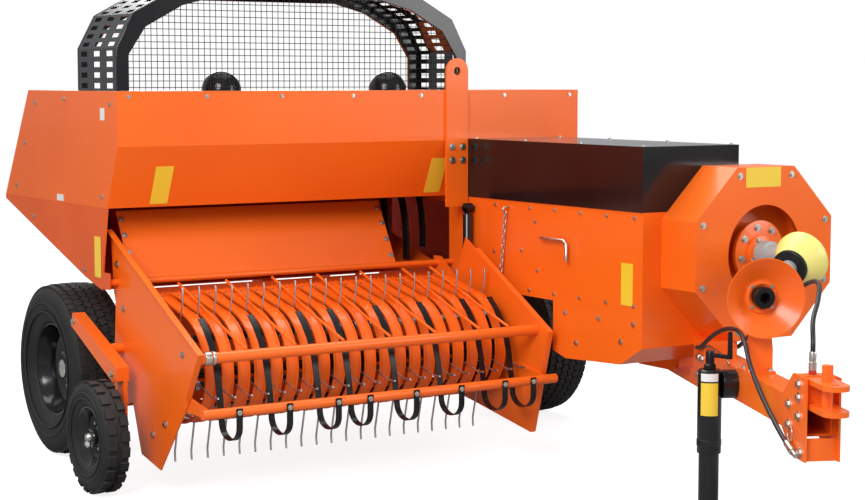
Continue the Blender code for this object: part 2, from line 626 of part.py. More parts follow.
def make_half_shaft():
    """The grey tube between the two joints, with its bearing ring and the yellow cone guard."""
    rear = Vector((DRIVE_X, REAR_JOINT_Y, DRIVE_Z))
    front = front_joint()
    along = (front - rear).normalized()
    tube = rod("half_shaft", rear + along * (JOINT_BALL + SEAT), front - along * (FRONT_BALL + SEAT), SHAFT_RADIUS, 24)
    finish(tube, GREY, rear)
    turn = Matrix.Translation(rear) @ along.to_track_quat("Z", "Y").to_matrix().to_4x4()
    skin = 0.004
    narrow_end = CONE_AHEAD + CONE_LENGTH
    lip = CONE_AHEAD + 0.02
    cone = [(CONE_NARROW, narrow_end), (CONE_WIDE, lip), (CONE_WIDE, CONE_AHEAD),
            (CONE_WIDE - skin, CONE_AHEAD), (CONE_WIDE - skin, lip), (CONE_NARROW - skin, narrow_end)]
    finish(lathe("shaft_guard_cone", cone, turn, 24), YELLOW)
    low = narrow_end + SEAT
    inner = SHAFT_RADIUS + RUNNING
    ring = [(inner, low + RING_LENGTH), (RING_RADIUS, low + RING_LENGTH), (RING_RADIUS, low), (inner, low)]
    finish(lathe("shaft_guard_ring", ring, turn, 24), BLACK)


# ---- Feeder housing ----------------------------------------------------------------------------
def make_housing():
    low = CHAMBER_TOP + SEAT
    outer = [(PANEL_FRONT, PANEL_FOLD), (INTAKE_FRONT, low), (HOUSING_REAR_LOW, low), (HOUSING_REAR_TOP, HOUSING_TOP),
             (PANEL_FRONT, HOUSING_TOP)]
    inner = [(PANEL_FRONT + SHEET, PANEL_FOLD), (INTAKE_FRONT + SHEET + 0.008, low - REACH),
             (HOUSING_REAR_LOW - SHEET + 0.006, low - REACH), (HOUSING_REAR_TOP - SHEET - 0.003, HOUSING_TOP - SHEET),
             (PANEL_FRONT + SHEET, HOUSING_TOP - SHEET)]
    solid = side_plate("feeder_housing", [outer], HOUSING_RIGHT, HOUSING_LEFT)
    inside = side_plate("inside", [inner], HOUSING_RIGHT + SHEET, HOUSING_LEFT - SHEET)
    door = box("door", (HOUSING_RIGHT + 0.12, HOUSING_REAR_TOP + 0.02, low + 0.07),
               (-CHAMBER_SIDE - 0.10, HOUSING_REAR_LOW + REACH, HOUSING_TOP - 0.07))
    finish(cut(solid, [inside, door]), ORANGE)


def make_rear_lid():
    """The lid over the door in the housing's slanted back, hinged along its top edge."""
    low = CHAMBER_TOP + SEAT
    top = Vector((HOUSING_REAR_TOP, HOUSING_TOP))
    down = (Vector((HOUSING_REAR_LOW, low)) - top).normalized()
    out = Vector((-down.y, down.x)) * SEAT
    lift = Vector((-down.y, down.x)) * LID_SHEET
    upper, lower = top + down * 0.03 + out, top + down * 0.52 + out
    outline = [tuple(upper), tuple(lower), tuple(lower + lift), tuple(upper + lift)]
    lid = side_plate("rear_lid", [outline], HOUSING_RIGHT + 0.08, -CHAMBER_SIDE - 0.06)
    hinge = top + down * 0.03 + out + lift / 2
    finish(lid, ORANGE, (0.0, hinge.x, hinge.y))
    return hinge


def make_trough():
    """Floor and end wall of the cross feeder, open to the front, the top and the chamber."""
    top = CHAMBER_TOP
    left = -CHAMBER_SIDE - SEAT
    rear = (HOUSING_REAR_LOW, top - 0.02)
    outer = [(INTAKE_FRONT, top), TROUGH_LIP, TROUGH_CORNER, rear, (HOUSING_REAR_LOW, top)]
    lift = SHEET * 1.05
    inner = [(INTAKE_FRONT - REACH * 3, top + REACH), (TROUGH_LIP[0] - REACH * 3, TROUGH_LIP[1] + lift - 0.006),
             (TROUGH_LIP[0], TROUGH_LIP[1] + lift), (TROUGH_CORNER[0], TROUGH_CORNER[1] + lift),
             (rear[0] - SHEET, rear[1] + lift - 0.002), (rear[0] - SHEET, top + REACH)]
    solid = side_plate("feeder_trough", [outer], HOUSING_RIGHT, left)
    inside = side_plate("inside", [inner], HOUSING_RIGHT + SHEET, left + REACH)
    y, z = PIVOT
    ear = [(y - 0.028, z + 0.04), (y - 0.028, z - 0.028), (y + 0.07, z - 0.028), (y + 0.07, z + 0.04)]
    finish(join(cut(solid, [inside]), [side_plate("ear", [ear], HOUSING_RIGHT, HOUSING_RIGHT + SHEET)]), ORANGE)


def make_apron():
    tube = Vector(PIVOT)
    upper = Vector((-0.48, 1.108))
    along = (upper - tube).normalized()
    start = tube + along * (PIVOT_RADIUS + SEAT)
    side = Vector((-along.y, along.x)) * 0.002
    outline = [tuple(start + side), tuple(start - side), tuple(upper - side), tuple(upper + side)]
    finish(side_plate("feeder_apron", [outline], HOUSING_RIGHT + 0.11, -0.55), ORANGE)


def make_packer():
    """Curved packer fingers on the cross tube inside the housing."""
    tube_at = (-0.35, 1.22)
    tube = rod("packer_fork", (HOUSING_RIGHT + SHEET + SEAT, *tube_at), (HOUSING_LEFT - SHEET - SEAT, *tube_at), 0.022, 16)
    fingers = []
    for x, reach in ((-1.85, 0.45), (-1.77, 0.45), (-CHAMBER_SIDE - 0.25, 0.92),
                     (-CHAMBER_SIDE - 0.15, 0.92), (-CHAMBER_SIDE - 0.05, 0.80)):
        path = arc((tube_at[0], tube_at[1] - 0.36 * reach), 0.17 * reach, 0.36 * reach, 90, 190, 6)
        outline = strip([(y, z) for y, z in reversed(path)], -0.045 * reach)
        fingers.append(side_plate(f"finger{len(fingers)}", [outline], x - 0.006, x + 0.006))
    finish(join(tube, fingers), BLACK)


def make_ear():
    back = PANEL_FRONT - SEAT
    centre = (-CHAMBER_SIDE - 0.065, 1.70)
    outline = [(centre[0] - 0.058, 1.09), (centre[0] + 0.058, 1.09)] + arc(centre, 0.058, 0.058, 0, 180, 12)
    finish(front_plate("lifting_ear", [outline, circle(centre, 0.019)], back - 0.012, back), ORANGE)


def arch(inset):
    """The guard's outline, moved in by the inset."""
    base = HOUSING_TOP + SEAT
    half = [(across - inset, base + up - (inset if up > 0.3 else 0.0)) for across, up in ARCH_OUTLINE]
    half[0] = (half[0][0], base)
    right = [(ARCH_CENTRE - across, up) for across, up in reversed(half)]
    left = [(ARCH_CENTRE + across, up) for across, up in half]
    return left + right


def make_arch_guard():
    base = HOUSING_TOP + SEAT
    front = PANEL_FRONT
    rear = front + ARCH_DEPTH
    skin = front_plate("arch_guard", [arch(0.0)], front, rear)
    inner, window = arch(ARCH_SHEET), arch(ARCH_BAR)
    for line in (inner, window):
        line[0] = (line[0][0], base - REACH)
        line[-1] = (line[-1][0], base - REACH)
    hollow = front_plate("hollow", [inner], front + ARCH_HOOP, rear - ARCH_HOOP)
    opening = front_plate("opening", [window], front - REACH, rear + REACH)
    finish(cut(skin, [hollow, opening]), BLACK)
    panel = arch(ARCH_BAR + SEAT)
    finish(front_plate("guard_mesh", [panel], front + 0.006, front + 0.010), BLACK)


def make_domes():
    base = HOUSING_TOP + SEAT
    for name, x in (("right_dome", -1.43), ("left_dome", -0.61)):
        profile = [(0.0, 0.085)] + [(0.085 * math.sin(math.radians(a)), 0.085 * math.cos(math.radians(a))) for a in (25, 50, 70, 90)]
        profile += [(0.0, 0.0)]
        turn = Matrix.Translation((x, PANEL_FRONT + 0.11, base))
        finish(lathe(name, profile, turn, 20), BLACK)


# ---- Axles and wheels --------------------------------------------------------------------------
def make_axle_beam():
    half, low = AXLE_BEAM / 2, AXLE_BEAM_BOTTOM
    top = low + AXLE_BEAM
    right, left = WHEEL_RIGHT[0] + 0.19, CHAMBER_SIDE
    beam = box("axle_beam", (right, -half, low), (left, half, top))
    floor = TROUGH_CORNER[1] + (0.0 - half - TROUGH_CORNER[0]) * (CHAMBER_TOP - 0.02 - TROUGH_CORNER[1]) / (HOUSING_REAR_LOW - TROUGH_CORNER[0])
    posts = [box("post_a", (x - 0.03, -half, top - 0.005), (x + 0.03, half, CHAMBER_BOTTOM - SEAT)) for x in (-0.20, 0.20)]
    posts += [box("post_b", (x - 0.03, -half, top - 0.005), (x + 0.03, half, floor - SEAT)) for x in (-1.58, -0.90)]
    finish(join(beam, posts), ORANGE)


def make_axles():
    x, y = WHEEL_RIGHT
    inner = x + 0.19
    top = AXLE_BEAM_BOTTOM + AXLE_BEAM
    leg = box("right_axle", (inner - SEAT - 0.03, y - 0.05, TYRE_RADIUS - 0.06), (inner - SEAT, y + 0.05, top))
    spindle = rod("spindle", (inner - 0.015, y, TYRE_RADIUS), (x - 0.05, y, TYRE_RADIUS), SPINDLE, 20)
    finish(join(leg, [spindle]), ORANGE)
    x, y = WHEEL_LEFT
    inner = CHAMBER_SIDE + SEAT
    outline = [(y - 0.10, CHAMBER_TOP - 0.10), (y - 0.10, CHAMBER_BOTTOM), (y - 0.05, TYRE_RADIUS - 0.06),
               (y + 0.05, TYRE_RADIUS - 0.06), (y + 0.10, CHAMBER_BOTTOM), (y + 0.10, CHAMBER_TOP - 0.10)]
    plate = side_plate("left_axle", [outline], inner, inner + 0.025)
    spindle = rod("spindle", (inner + 0.01, y, TYRE_RADIUS), (x + 0.05, y, TYRE_RADIUS), SPINDLE, 20)
    finish(join(plate, [spindle]), ORANGE)


def tyre_profile(radius, rim, width):
    half, shoulder = width / 2, radius - rim
    side = [(rim + shoulder * 0.12, half * 0.80), (rim + shoulder * 0.45, half), (rim + shoulder * 0.80, half * 0.93),
            (radius, half * 0.62)]
    below = [(r, -h) for r, h in reversed(side)]
    return [(rim, half * 0.72)] + side + below + [(rim, -half * 0.72)]


def make_wheel(name, x, y, radius, rim, width, bore, outward, depth, steps=WHEEL_STEPS):
    """Tyre and dished rim. outward is -1 for a wheel whose outer face is towards -X."""
    turn = Matrix.Translation((x, y, radius)) @ Matrix.Rotation(math.radians(90 * outward), 4, "Y")
    axis = (x, y, radius)
    finish(lathe(f"{name}_tyre", tyre_profile(radius, rim, width), turn, steps), RUBBER, axis)
    edge, half = rim - SEAT, width * 0.36
    wall = 0.006
    profile = [(edge, half), (edge, -half), (edge - wall, -half), (edge - 0.035, depth - 0.01),
               (bore * 2.4, depth - wall - 0.03), (bore * 2.2, -half * 0.6), (bore + RUNNING, -half * 0.6),
               (bore + RUNNING, depth + 0.03), (bore * 2.0, depth + 0.03), (edge - 0.028, depth), (edge - wall, half)]
    finish(lathe(f"{name}_rim", profile, turn, steps), BLACK, axis)


def make_wheels():
    make_wheel("right_wheel", *WHEEL_RIGHT, TYRE_RADIUS, RIM_RADIUS, TYRE_WIDTH, SPINDLE, -1, 0.02)
    make_wheel("left_wheel", *WHEEL_LEFT, TYRE_RADIUS, RIM_RADIUS, TYRE_WIDTH, SPINDLE, 1, 0.02)
    make_wheel("gauge_wheel", *GAUGE_AXLE, GAUGE_RADIUS, GAUGE_RIM, GAUGE_WIDTH, GAUGE_SPINDLE, -1, 0.005)


# ---- Pickup ------------------------------------------------------------------------------------
def make_pickup_plates():
    hole = circle(PIVOT, PIVOT_RADIUS + RUNNING)
    right = [(-0.575, 1.04), (-1.45, 0.622), (-1.329, 0.429), (-1.049, 0.106), (-0.862, 0.141), (-0.60, 0.78)]
    finish(side_plate("pickup_right_plate", [right, hole], PLATE_RIGHT - PLATE / 2, PLATE_RIGHT + PLATE / 2), ORANGE,
           (0.0, *PIVOT))
    left = [(-0.865, 0.955), (-1.50, 0.60), (-1.375, 0.151), (-0.95, 0.22), (-0.60, 0.27), (-0.62, 0.38)]
    finish(side_plate("pickup_left_plate", [left], PLATE_LEFT - PLATE / 2, PLATE_LEFT + PLATE / 2), ORANGE,
           (0.0, *PIVOT))


def band_path():
    """The band's inner side, from the lip bar over the top and the front to the rear beam."""
    top = arc(BAND_CENTRE, BAND_FRONT, BAND_ABOVE, 90, 180, 4)
    low = arc(BAND_CENTRE, BAND_FRONT, BAND_BELOW, 180, 270, 3)[1:]
    return [(LIP_BAR[0], LIP_BAR[1] + 0.012)] + top + low + [(REAR_BEAM[0] - 0.01, REAR_BEAM[1] - 0.025)]


def make_pickup_frame():
    """End arms, rear beam, lip bar and the stripper bands, in one weldment."""
    right, left = PLATE_RIGHT + PLATE / 2 + SEAT, PLATE_LEFT - PLATE / 2 - SEAT
    arm = [(PIVOT[0] - 0.03, PIVOT[1] + 0.03), (LIP_BAR[0] - 0.03, LIP_BAR[1] + 0.02), (REEL[0] - 0.05, REEL[1] + 0.03),
           (REEL[0] - 0.05, REEL[1] - 0.05), (REAR_BEAM[0], REAR_BEAM[1] - 0.035), (REAR_BEAM[0] + 0.035, REAR_BEAM[1]),
           (PIVOT[0] + 0.03, PIVOT[1] - 0.01), (PIVOT[0] + 0.03, PIVOT[1] + 0.03)]
    hole = circle(PIVOT, PIVOT_RADIUS + RUNNING)
    first = side_plate("pickup_frame", [arm, hole], right, right + PLATE)
    pieces = [side_plate("arm", [arm, hole], left - PLATE, left)]
    pieces.append(box("rear", (right + PLATE / 2, REAR_BEAM[0] - 0.03, REAR_BEAM[1] - 0.03),
                      (left - PLATE / 2, REAR_BEAM[0] + 0.03, REAR_BEAM[1] + 0.03)))
    pieces.append(box("lip", (right + PLATE / 2, LIP_BAR[0] - 0.015, LIP_BAR[1] - 0.015),
                      (left - PLATE / 2, LIP_BAR[0] + 0.015, LIP_BAR[1] + 0.015)))
    outline = strip(band_path(), -BAND_SHEET)
    for index in range(TINE_COUNT - 1):
        middle = band_x(index)
        pieces.append(side_plate(f"band{index}", [outline], middle - BAND_WIDTH / 2, middle + BAND_WIDTH / 2))
    finish(join(first, pieces), ORANGE, (0.0, *PIVOT))


def band_x(index):
    return TINE_FIRST + (index + 0.5) * TINE_PITCH


def make_reel():
    """Shaft, spiders, four tine bars and their tines."""
    right = PLATE_RIGHT + PLATE / 2 + SEAT + PLATE + RUNNING
    left = PLATE_LEFT - PLATE / 2 - SEAT - PLATE - RUNNING
    y, z = REEL
    shaft = rod("pickup_reel", (right, y, z), (left, y, z), REEL_SHAFT, 16)
    last = TINE_FIRST + (TINE_COUNT - 1) * TINE_PITCH
    pieces = []
    for x in (TINE_FIRST - 0.02, (TINE_FIRST + last) / 2 + TINE_PITCH / 2, last + 0.02):
        pieces.append(rod("spider", (x - 0.003, y, z), (x + 0.003, y, z), SPIDER_RADIUS, 24))
    for bar in range(TINE_BARS):
        angle = math.radians(8 + 360 * bar / TINE_BARS)
        out = Vector((math.cos(angle), math.sin(angle)))
        back = Vector((-out.y, out.x))
        centre = Vector(REEL) + out * BAR_CIRCLE
        pieces.append(rod("bar", (TINE_FIRST - 0.022, *centre), (last + 0.022, *centre), BAR_RADIUS, 6))
        half = TINE_SIZE / 2
        tip = Vector(REEL) + out * TINE_REACH
        outline = [tuple(centre - back * half), tuple(tip - back * half), tuple(tip + back * half),
                   tuple(centre + back * half)]
        for index in range(TINE_COUNT):
            x = TINE_FIRST + index * TINE_PITCH
            pieces.append(side_plate("tine", [outline], x - half, x + half))
    finish(join(shaft, pieces), STEEL, (0.0, *REEL))


def make_windguard():
    right, left = PLATE_RIGHT + PLATE / 2 + RUNNING, PLATE_LEFT - PLATE / 2 - RUNNING
    tube = rod("windguard", (right, *WIND_TUBE), (left, *WIND_TUBE), WIND_RADIUS, 16)
    start = (WIND_TUBE[0], WIND_TUBE[1] + 0.0205)
    rods = [rod("rod", (band_x(index), *start), (band_x(index), *ROD_END), ROD_RADIUS, 6) for index in ROD_BANDS]
    finish(join(tube, rods), ORANGE, (0.0, *WIND_TUBE))


def strap_path():
    y, z = STRAP_TUBE
    front = y - STRAP_TUBE_RADIUS + 0.003
    bend = arc((front + 0.075, z - 0.055), 0.075, 0.06, 180, 350, 5)
    return [(front, z + 0.012)] + bend + [(-1.325, 0.45), (-1.300, 0.56), (-1.245, 0.66), (-1.165, 0.725)]


def make_strap_bar():
    """Lower front tube on its two lugs, with the hooked spring straps."""
    y, z = STRAP_TUBE
    tube = rod("strap_bar", (PLATE_RIGHT - 0.02, y, z), (PLATE_LEFT + 0.055, y, z), STRAP_TUBE_RADIUS, 16)
    lug = [(y, z - 0.018), (-1.27, z - 0.018), (-1.27, z + 0.05), (y, z + 0.018)]
    right, left = PLATE_RIGHT + PLATE / 2 + SEAT, PLATE_LEFT - PLATE / 2 - SEAT
    pieces = [side_plate("lug", [lug], right, right + PLATE), side_plate("lug", [lug], left - PLATE, left)]
    outline = strip(strap_path(), -STRAP_SHEET)
    for index in STRAP_BANDS:
        x = band_x(index)
        pieces.append(side_plate("strap", [outline], x - STRAP_WIDTH / 2, x + STRAP_WIDTH / 2))
    finish(join(tube, pieces), BLACK, (0.0, *PIVOT))


def make_gauge_arm():
    x = -1.985
    y, z = GAUGE_AXLE[1], GAUGE_RADIUS
    half = 0.0275
    outline = [(-0.39, 0.625), (-0.41, 0.68), (y - 0.03, 0.505), (y - 0.03, 0.45), (y + 0.01, 0.44)]
    arm = side_plate("gauge_arm", [outline], x - half, x + half)
    drop = side_plate("drop", [[(y - 0.03, 0.47), (y - 0.025, z - 0.03), (y + 0.025, z - 0.03), (y + 0.03, 0.47)]], x + 0.002, x + 0.02)
    cross = rod("cross", (x, -0.68, 0.555), (PLATE_RIGHT - PLATE / 2 - SEAT, -0.68, 0.555), 0.022, 16)
    spindle = rod("spindle", (x + 0.01, y, z), (GAUGE_AXLE[0] - 0.03, y, z), GAUGE_SPINDLE, 16)
    finish(join(arm, [drop, cross, spindle]), ORANGE, (0.0, *PIVOT))


def make_pickup_pivot():
    right, left = HOUSING_RIGHT + SHEET + SEAT, -CHAMBER_SIDE - SEAT
    finish(rod("pickup_pivot", (right, *PIVOT), (left, *PIVOT), PIVOT_RADIUS, 16), STEEL)


def make_lift_cylinder():
    x, y = -CHAMBER_SIDE - LIFT_OUT, -0.825
    barrel = rod("lift_cylinder", (x, y, 0.90), (x, y, 1.06), 0.021, 16)
    bore = rod("bore", (x, y, 0.90 - REACH), (x, y, 1.03), 0.008 + RUNNING, 12)
    eye = rod("eye", (x + 0.02, y, 1.085), (x - 0.015, y, 1.085), 0.022, 16)
    neck = rod("neck", (x, y, 1.05), (x, y, 1.085), 0.011, 12)
    pin = rod("pin", (-CHAMBER_SIDE - SEAT, y, 1.085), (x - 0.02, y, 1.085), 0.011, 12)
    finish(cut(join(barrel, [neck, eye, pin]), [bore]), BLACK)
    stem = rod("lift_rod", (x, y, 0.80), (x, y, 0.965), 0.008, 12)
    foot = rod("foot", (x + 0.012, y, 0.80), (PLATE_LEFT + PLATE / 2 + SEAT, y, 0.80), 0.016, 12)
    finish(join(stem, [foot]), STEEL, (x, y, 0.80))


# ---- Rear end ----------------------------------------------------------------------------------
def make_tension_frame():
    side, top, low = CHAMBER_SIDE, CHAMBER_TOP + SEAT, CHAMBER_BOTTOM - SEAT
    upper = box("tension_frame", (-side - 0.08, 1.25, top), (side + 0.08, 1.31, top + 0.05))
    lower = box("lower", (-side - 0.08, 1.25, low - 0.05), (side + 0.08, 1.31, low))
    pieces = [lower]
    for x in (-side - 0.05, side + 0.05):
        pieces.append(rod("screw", (x, 1.28, low - 0.08), (x, 1.28, top + 0.28), 0.012, 12))
        pieces.append(rod("spring", (x, 1.28, top + 0.06), (x, 1.28, top + 0.20), 0.028, 16))
        pieces.append(rod("crank", (x, 1.28, top + 0.265), (x + 0.09, 1.28, top + 0.265), 0.008, 8))
    finish(join(upper, pieces), BLACK)


def make_chute():
    """Bale ramp behind the chamber, hinged along the floor's rear edge."""
    side = CHAMBER_SIDE - 0.02
    hinge = (CHAMBER_REAR + 0.016, CHAMBER_BOTTOM + 0.01)
    end = (CHAMBER_REAR + 0.60, CHAMBER_BOTTOM - 0.08)
    floor = strip([hinge, (hinge[0] + 0.02, hinge[1] - 0.004), end], -0.006)
    plate = side_plate("bale_chute", [floor], -side, side)
    barrel = rod("barrel", (-side, *hinge), (side, *hinge), 0.012, 12)
    lip = [(hinge[0] + 0.05, hinge[1] - 0.02), (hinge[0] + 0.05, hinge[1] + 0.05), (end[0], end[1] + 0.05), (end[0], end[1] - 0.01)]
    lips = [side_plate("lip", [lip], x, x + 0.006) for x in (-side, side - 0.006)]
    finish(join(plate, [barrel] + lips), ORANGE, (0.0, *hinge))


def make_chute_hinge():
    side = CHAMBER_SIDE
    y, z = CHAMBER_REAR + 0.016, CHAMBER_BOTTOM + 0.01
    for name, x_from, x_to in (("right_chute_hinge", -side - 0.006, -side + 0.0195), ("left_chute_hinge", side - 0.0195, side + 0.006)):
        finish(box(name, (x_from, CHAMBER_REAR + SEAT, z - 0.015), (x_to, y + 0.015, z + 0.015)), ORANGE)


def make_needles():
    """Needle yoke under the chamber with two curved needles."""
    side = CHAMBER_SIDE
    yoke = rod("needle_yoke", (-side - 0.03, 0.80, 0.48), (side + 0.03, 0.80, 0.48), 0.02, 12)
    pieces = []
    for x in (-side - 0.02, side + 0.02):
        arm = [(0.33, 0.84), (0.33, 0.76), (0.775, 0.46), (0.82, 0.47), (0.82, 0.50), (0.40, 0.84)]
        pieces.append(side_plate("arm", [arm], x - 0.006, x + 0.006))
        inner = math.copysign(side + SEAT, x)
        pieces.append(rod("pin", (inner, 0.37, 0.80), (x, 0.37, 0.80), 0.02, 12))
    for x in (-0.09, 0.09):
        needle = strip(arc((0.80, 0.80), 0.32, 0.32, 270, 200, 8), 0.022)
        pieces.append(side_plate("needle", [needle], x - 0.007, x + 0.007))
    finish(join(yoke, pieces), ORANGE)


def set_origin_below():
    """Moves the machine so that its origin is under the middle of its box."""
    bpy.context.view_layer.update()
    corners = [obj.matrix_world @ Vector(corner) for obj in PARTS.objects if obj.type == "MESH"
               for corner in obj.bound_box]
    low = Vector([min(corner[axis] for corner in corners) for axis in range(3)])
    high = Vector([max(corner[axis] for corner in corners) for axis in range(3)])
    middle = (low + high) / 2
    MACHINE.location = (-middle.x, -middle.y, -low.z)
    bpy.context.view_layer.update()


clear_scene()
PARTS = new_collection("square_baler")
ORANGE = material("orange_paint", (0.80, 0.10, 0.01), 0.35)
BLACK = material("black_paint", (0.01, 0.01, 0.01), 0.25)
RUBBER = material("rubber", (0.02, 0.02, 0.02), 0.85)
STEEL = material("galvanised_steel", (0.55, 0.56, 0.58), 0.4, 1.0)
GREY = material("grey_paint", (0.35, 0.35, 0.34), 0.55)
IRON = material("cast_iron", (0.10, 0.10, 0.10), 0.6)
YELLOW = material("yellow_plastic", (0.85, 0.75, 0.12), 0.4)
MACHINE = bpy.data.objects.new("machine", None)
PARTS.objects.link(MACHINE)

make_chamber()
make_crank_box()
make_gearbox()
make_hood()
make_flywheel_guard()
make_flywheel()
DRAWBAR = drawbar_frame()
make_beam(DRAWBAR)
make_root(DRAWBAR)
make_head(DRAWBAR)
make_clevis(DRAWBAR)
make_jack(DRAWBAR)
make_funnel(DRAWBAR)
make_hoses(DRAWBAR)
make_input_shaft(DRAWBAR)
make_half_shaft()
make_housing()
make_rear_lid()
make_trough()
make_apron()
make_packer()
make_ear()
make_arch_guard()
make_domes()
make_axle_beam()
make_axles()
make_wheels()
make_pickup_plates()
make_pickup_frame()
make_reel()
make_windguard()
make_strap_bar()
make_gauge_arm()
make_pickup_pivot()
make_lift_cylinder()
make_tension_frame()
make_chute()
make_chute_hinge()
make_needles()
set_origin_below()
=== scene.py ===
"""Looks of a small square baler: paint, tread, tines, stripper bands, bolts, wire guard and hoses."""

import json
import math

import bmesh
import bpy
from mathutils import Matrix, Vector


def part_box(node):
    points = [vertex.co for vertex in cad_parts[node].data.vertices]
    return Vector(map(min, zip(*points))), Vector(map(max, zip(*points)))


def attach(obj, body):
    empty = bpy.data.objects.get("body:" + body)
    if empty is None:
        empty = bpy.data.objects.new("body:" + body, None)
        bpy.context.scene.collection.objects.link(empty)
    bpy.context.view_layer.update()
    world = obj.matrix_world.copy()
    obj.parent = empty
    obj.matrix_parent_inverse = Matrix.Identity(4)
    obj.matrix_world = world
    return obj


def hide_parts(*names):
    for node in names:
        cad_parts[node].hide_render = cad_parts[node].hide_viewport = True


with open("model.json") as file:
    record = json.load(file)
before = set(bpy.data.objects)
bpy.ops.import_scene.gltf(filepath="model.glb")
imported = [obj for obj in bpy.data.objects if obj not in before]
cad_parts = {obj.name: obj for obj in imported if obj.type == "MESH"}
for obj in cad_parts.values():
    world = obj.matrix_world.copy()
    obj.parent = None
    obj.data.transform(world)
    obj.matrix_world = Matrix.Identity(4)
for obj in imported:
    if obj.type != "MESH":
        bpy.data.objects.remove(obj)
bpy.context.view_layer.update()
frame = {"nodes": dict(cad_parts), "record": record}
JOINTS = {joint["name"]: joint for joint in frame["record"]["behaviour"]["joints"]}
NODES = frame["nodes"]

# ---- Places ------------------------------------------------------------------------------------
CHAMBER_LOW, CHAMBER_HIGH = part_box("bale_chamber")
MIDDLE_X = (CHAMBER_LOW.x + CHAMBER_HIGH.x) / 2
AXLE_Y = CHAMBER_LOW.y + 2.035
DRAWBAR_TURN = math.radians(-24.6)


def at(x, y, z):
    """A point given from the chamber's middle, the main axle and the ground."""
    return Vector((x + MIDDLE_X, y + AXLE_Y, z))


def joint_at(name):
    return Vector(JOINTS[name]["pos_m"])


def joint_axis(name):
    return Vector(JOINTS[name]["axis"]).normalized()


def on_drawbar(across, along, height):
    """A point of the turned drawbar: across to its left, along it forwards from its root."""
    turned = Matrix.Rotation(DRAWBAR_TURN, 3, "Z") @ Vector((across, -along, 0.0))
    return at(0.207, -1.791, height) + turned


# ---- Camera, light and floor -------------------------------------------------------------------
def make_camera():
    camera = bpy.data.objects.new("camera", bpy.data.cameras.new("camera"))
    bpy.context.scene.collection.objects.link(camera)
    camera.data.lens = 77.0
    camera.data.sensor_width = 36.0
    camera.location = at(-4.90, -7.775, 1.66)
    heading, pitch = math.radians(32.5), math.radians(-5.25)
    ahead = Vector((math.sin(heading) * math.cos(pitch), math.cos(heading) * math.cos(pitch),
                    math.sin(pitch)))
    camera.rotation_euler = ahead.to_track_quat("-Z", "Y").to_euler()
    bpy.context.scene.camera = camera


def area_light(name, place, aim, size, watts):
    data = bpy.data.lights.new(name, "AREA")
    data.shape = "DISK"
    data.size = size
    data.energy = watts
    light = bpy.data.objects.new(name, data)
    light.location = place
    light.rotation_euler = (Vector(aim) - Vector(place)).to_track_quat("-Z", "Y").to_euler()
    bpy.context.scene.collection.objects.link(light)


def make_lights():
    aim = at(-0.6, -0.8, 0.8)
    area_light("key", at(-6.5, -5.5, 5.0), aim, 4.0, 500.0)
    area_light("fill", at(4.5, -7.5, 3.5), aim, 4.0, 200.0)
    area_light("top", at(-0.5, 0.5, 6.5), aim, 6.0, 340.0)
    area_light("back", at(3.0, 7.5, 4.5), aim, 5.0, 260.0)


def make_world():
    """White where the camera, gloss and glass look, and a softer white as light."""
    world = bpy.data.worlds.new("studio")
    bpy.context.scene.world = world
    world.use_nodes = True
    nodes, links = world.node_tree.nodes, world.node_tree.links
    nodes.clear()
    path = nodes.new("ShaderNodeLightPath")
    seen = math_node(nodes, links, "MAXIMUM", path.outputs["Is Camera Ray"],
                     path.outputs["Is Transmission Ray"])
    lit, shown = nodes.new("ShaderNodeBackground"), nodes.new("ShaderNodeBackground")
    lit.inputs["Color"].default_value = (0.95, 0.97, 1.0, 1.0)
    lit.inputs["Strength"].default_value = 0.50
    shown.inputs["Color"].default_value = (1.0, 1.0, 1.0, 1.0)
    shown.inputs["Strength"].default_value = 1.0
    mix, out = nodes.new("ShaderNodeMixShader"), nodes.new("ShaderNodeOutputWorld")
    links.new(seen, mix.inputs["Fac"])
    links.new(lit.outputs["Background"], mix.inputs[1])
    links.new(shown.outputs["Background"], mix.inputs[2])
    links.new(mix.outputs["Shader"], out.inputs["Surface"])


def make_floor():
    """A pale floor that keeps a soft shadow."""
    shape = bmesh.new()
    bmesh.ops.create_grid(shape, x_segments=1, y_segments=1, size=60.0)
    mesh = bpy.data.meshes.new("floor")
    shape.to_mesh(mesh)
    shape.free()
    floor = bpy.data.objects.new("floor", mesh)
    floor.location = (0.0, 0.0, -0.001)
    bpy.context.scene.collection.objects.link(floor)
    pale = bpy.data.materials.new("studio_floor")
    pale.use_nodes = True
    nodes, links = pale.node_tree.nodes, pale.node_tree.links
    nodes.clear()
    matt = nodes.new("ShaderNodeBsdfDiffuse")
    glow = nodes.new("ShaderNodeEmission")
    both = nodes.new("ShaderNodeAddShader")
    matt.inputs["Color"].default_value = (0.36, 0.36, 0.36, 1.0)
    glow.inputs["Strength"].default_value = 0.84
    path, out = nodes.new("ShaderNodeLightPath"), nodes.new("ShaderNodeOutputMaterial")
    mix = nodes.new("ShaderNodeMixShader")
    links.new(matt.outputs["BSDF"], both.inputs[0])
    links.new(glow.outputs["Emission"], both.inputs[1])
    links.new(path.outputs["Is Camera Ray"], mix.inputs["Fac"])
    links.new(matt.outputs["BSDF"], mix.inputs[1])
    links.new(both.outputs["Shader"], mix.inputs[2])
    links.new(mix.outputs["Shader"], out.inputs["Surface"])
    mesh.materials.append(pale)


# ---- Finishes ----------------------------------------------------------------------------------
def math_node(nodes, links, operation, first, second):
    node = nodes.new("ShaderNodeMath")
    node.operation = operation
    for socket, value in zip(node.inputs, (first, second)):
        if isinstance(value, (int, float)):
            socket.default_value = value
        else:
            links.new(value, socket)
    return node.outputs[0]


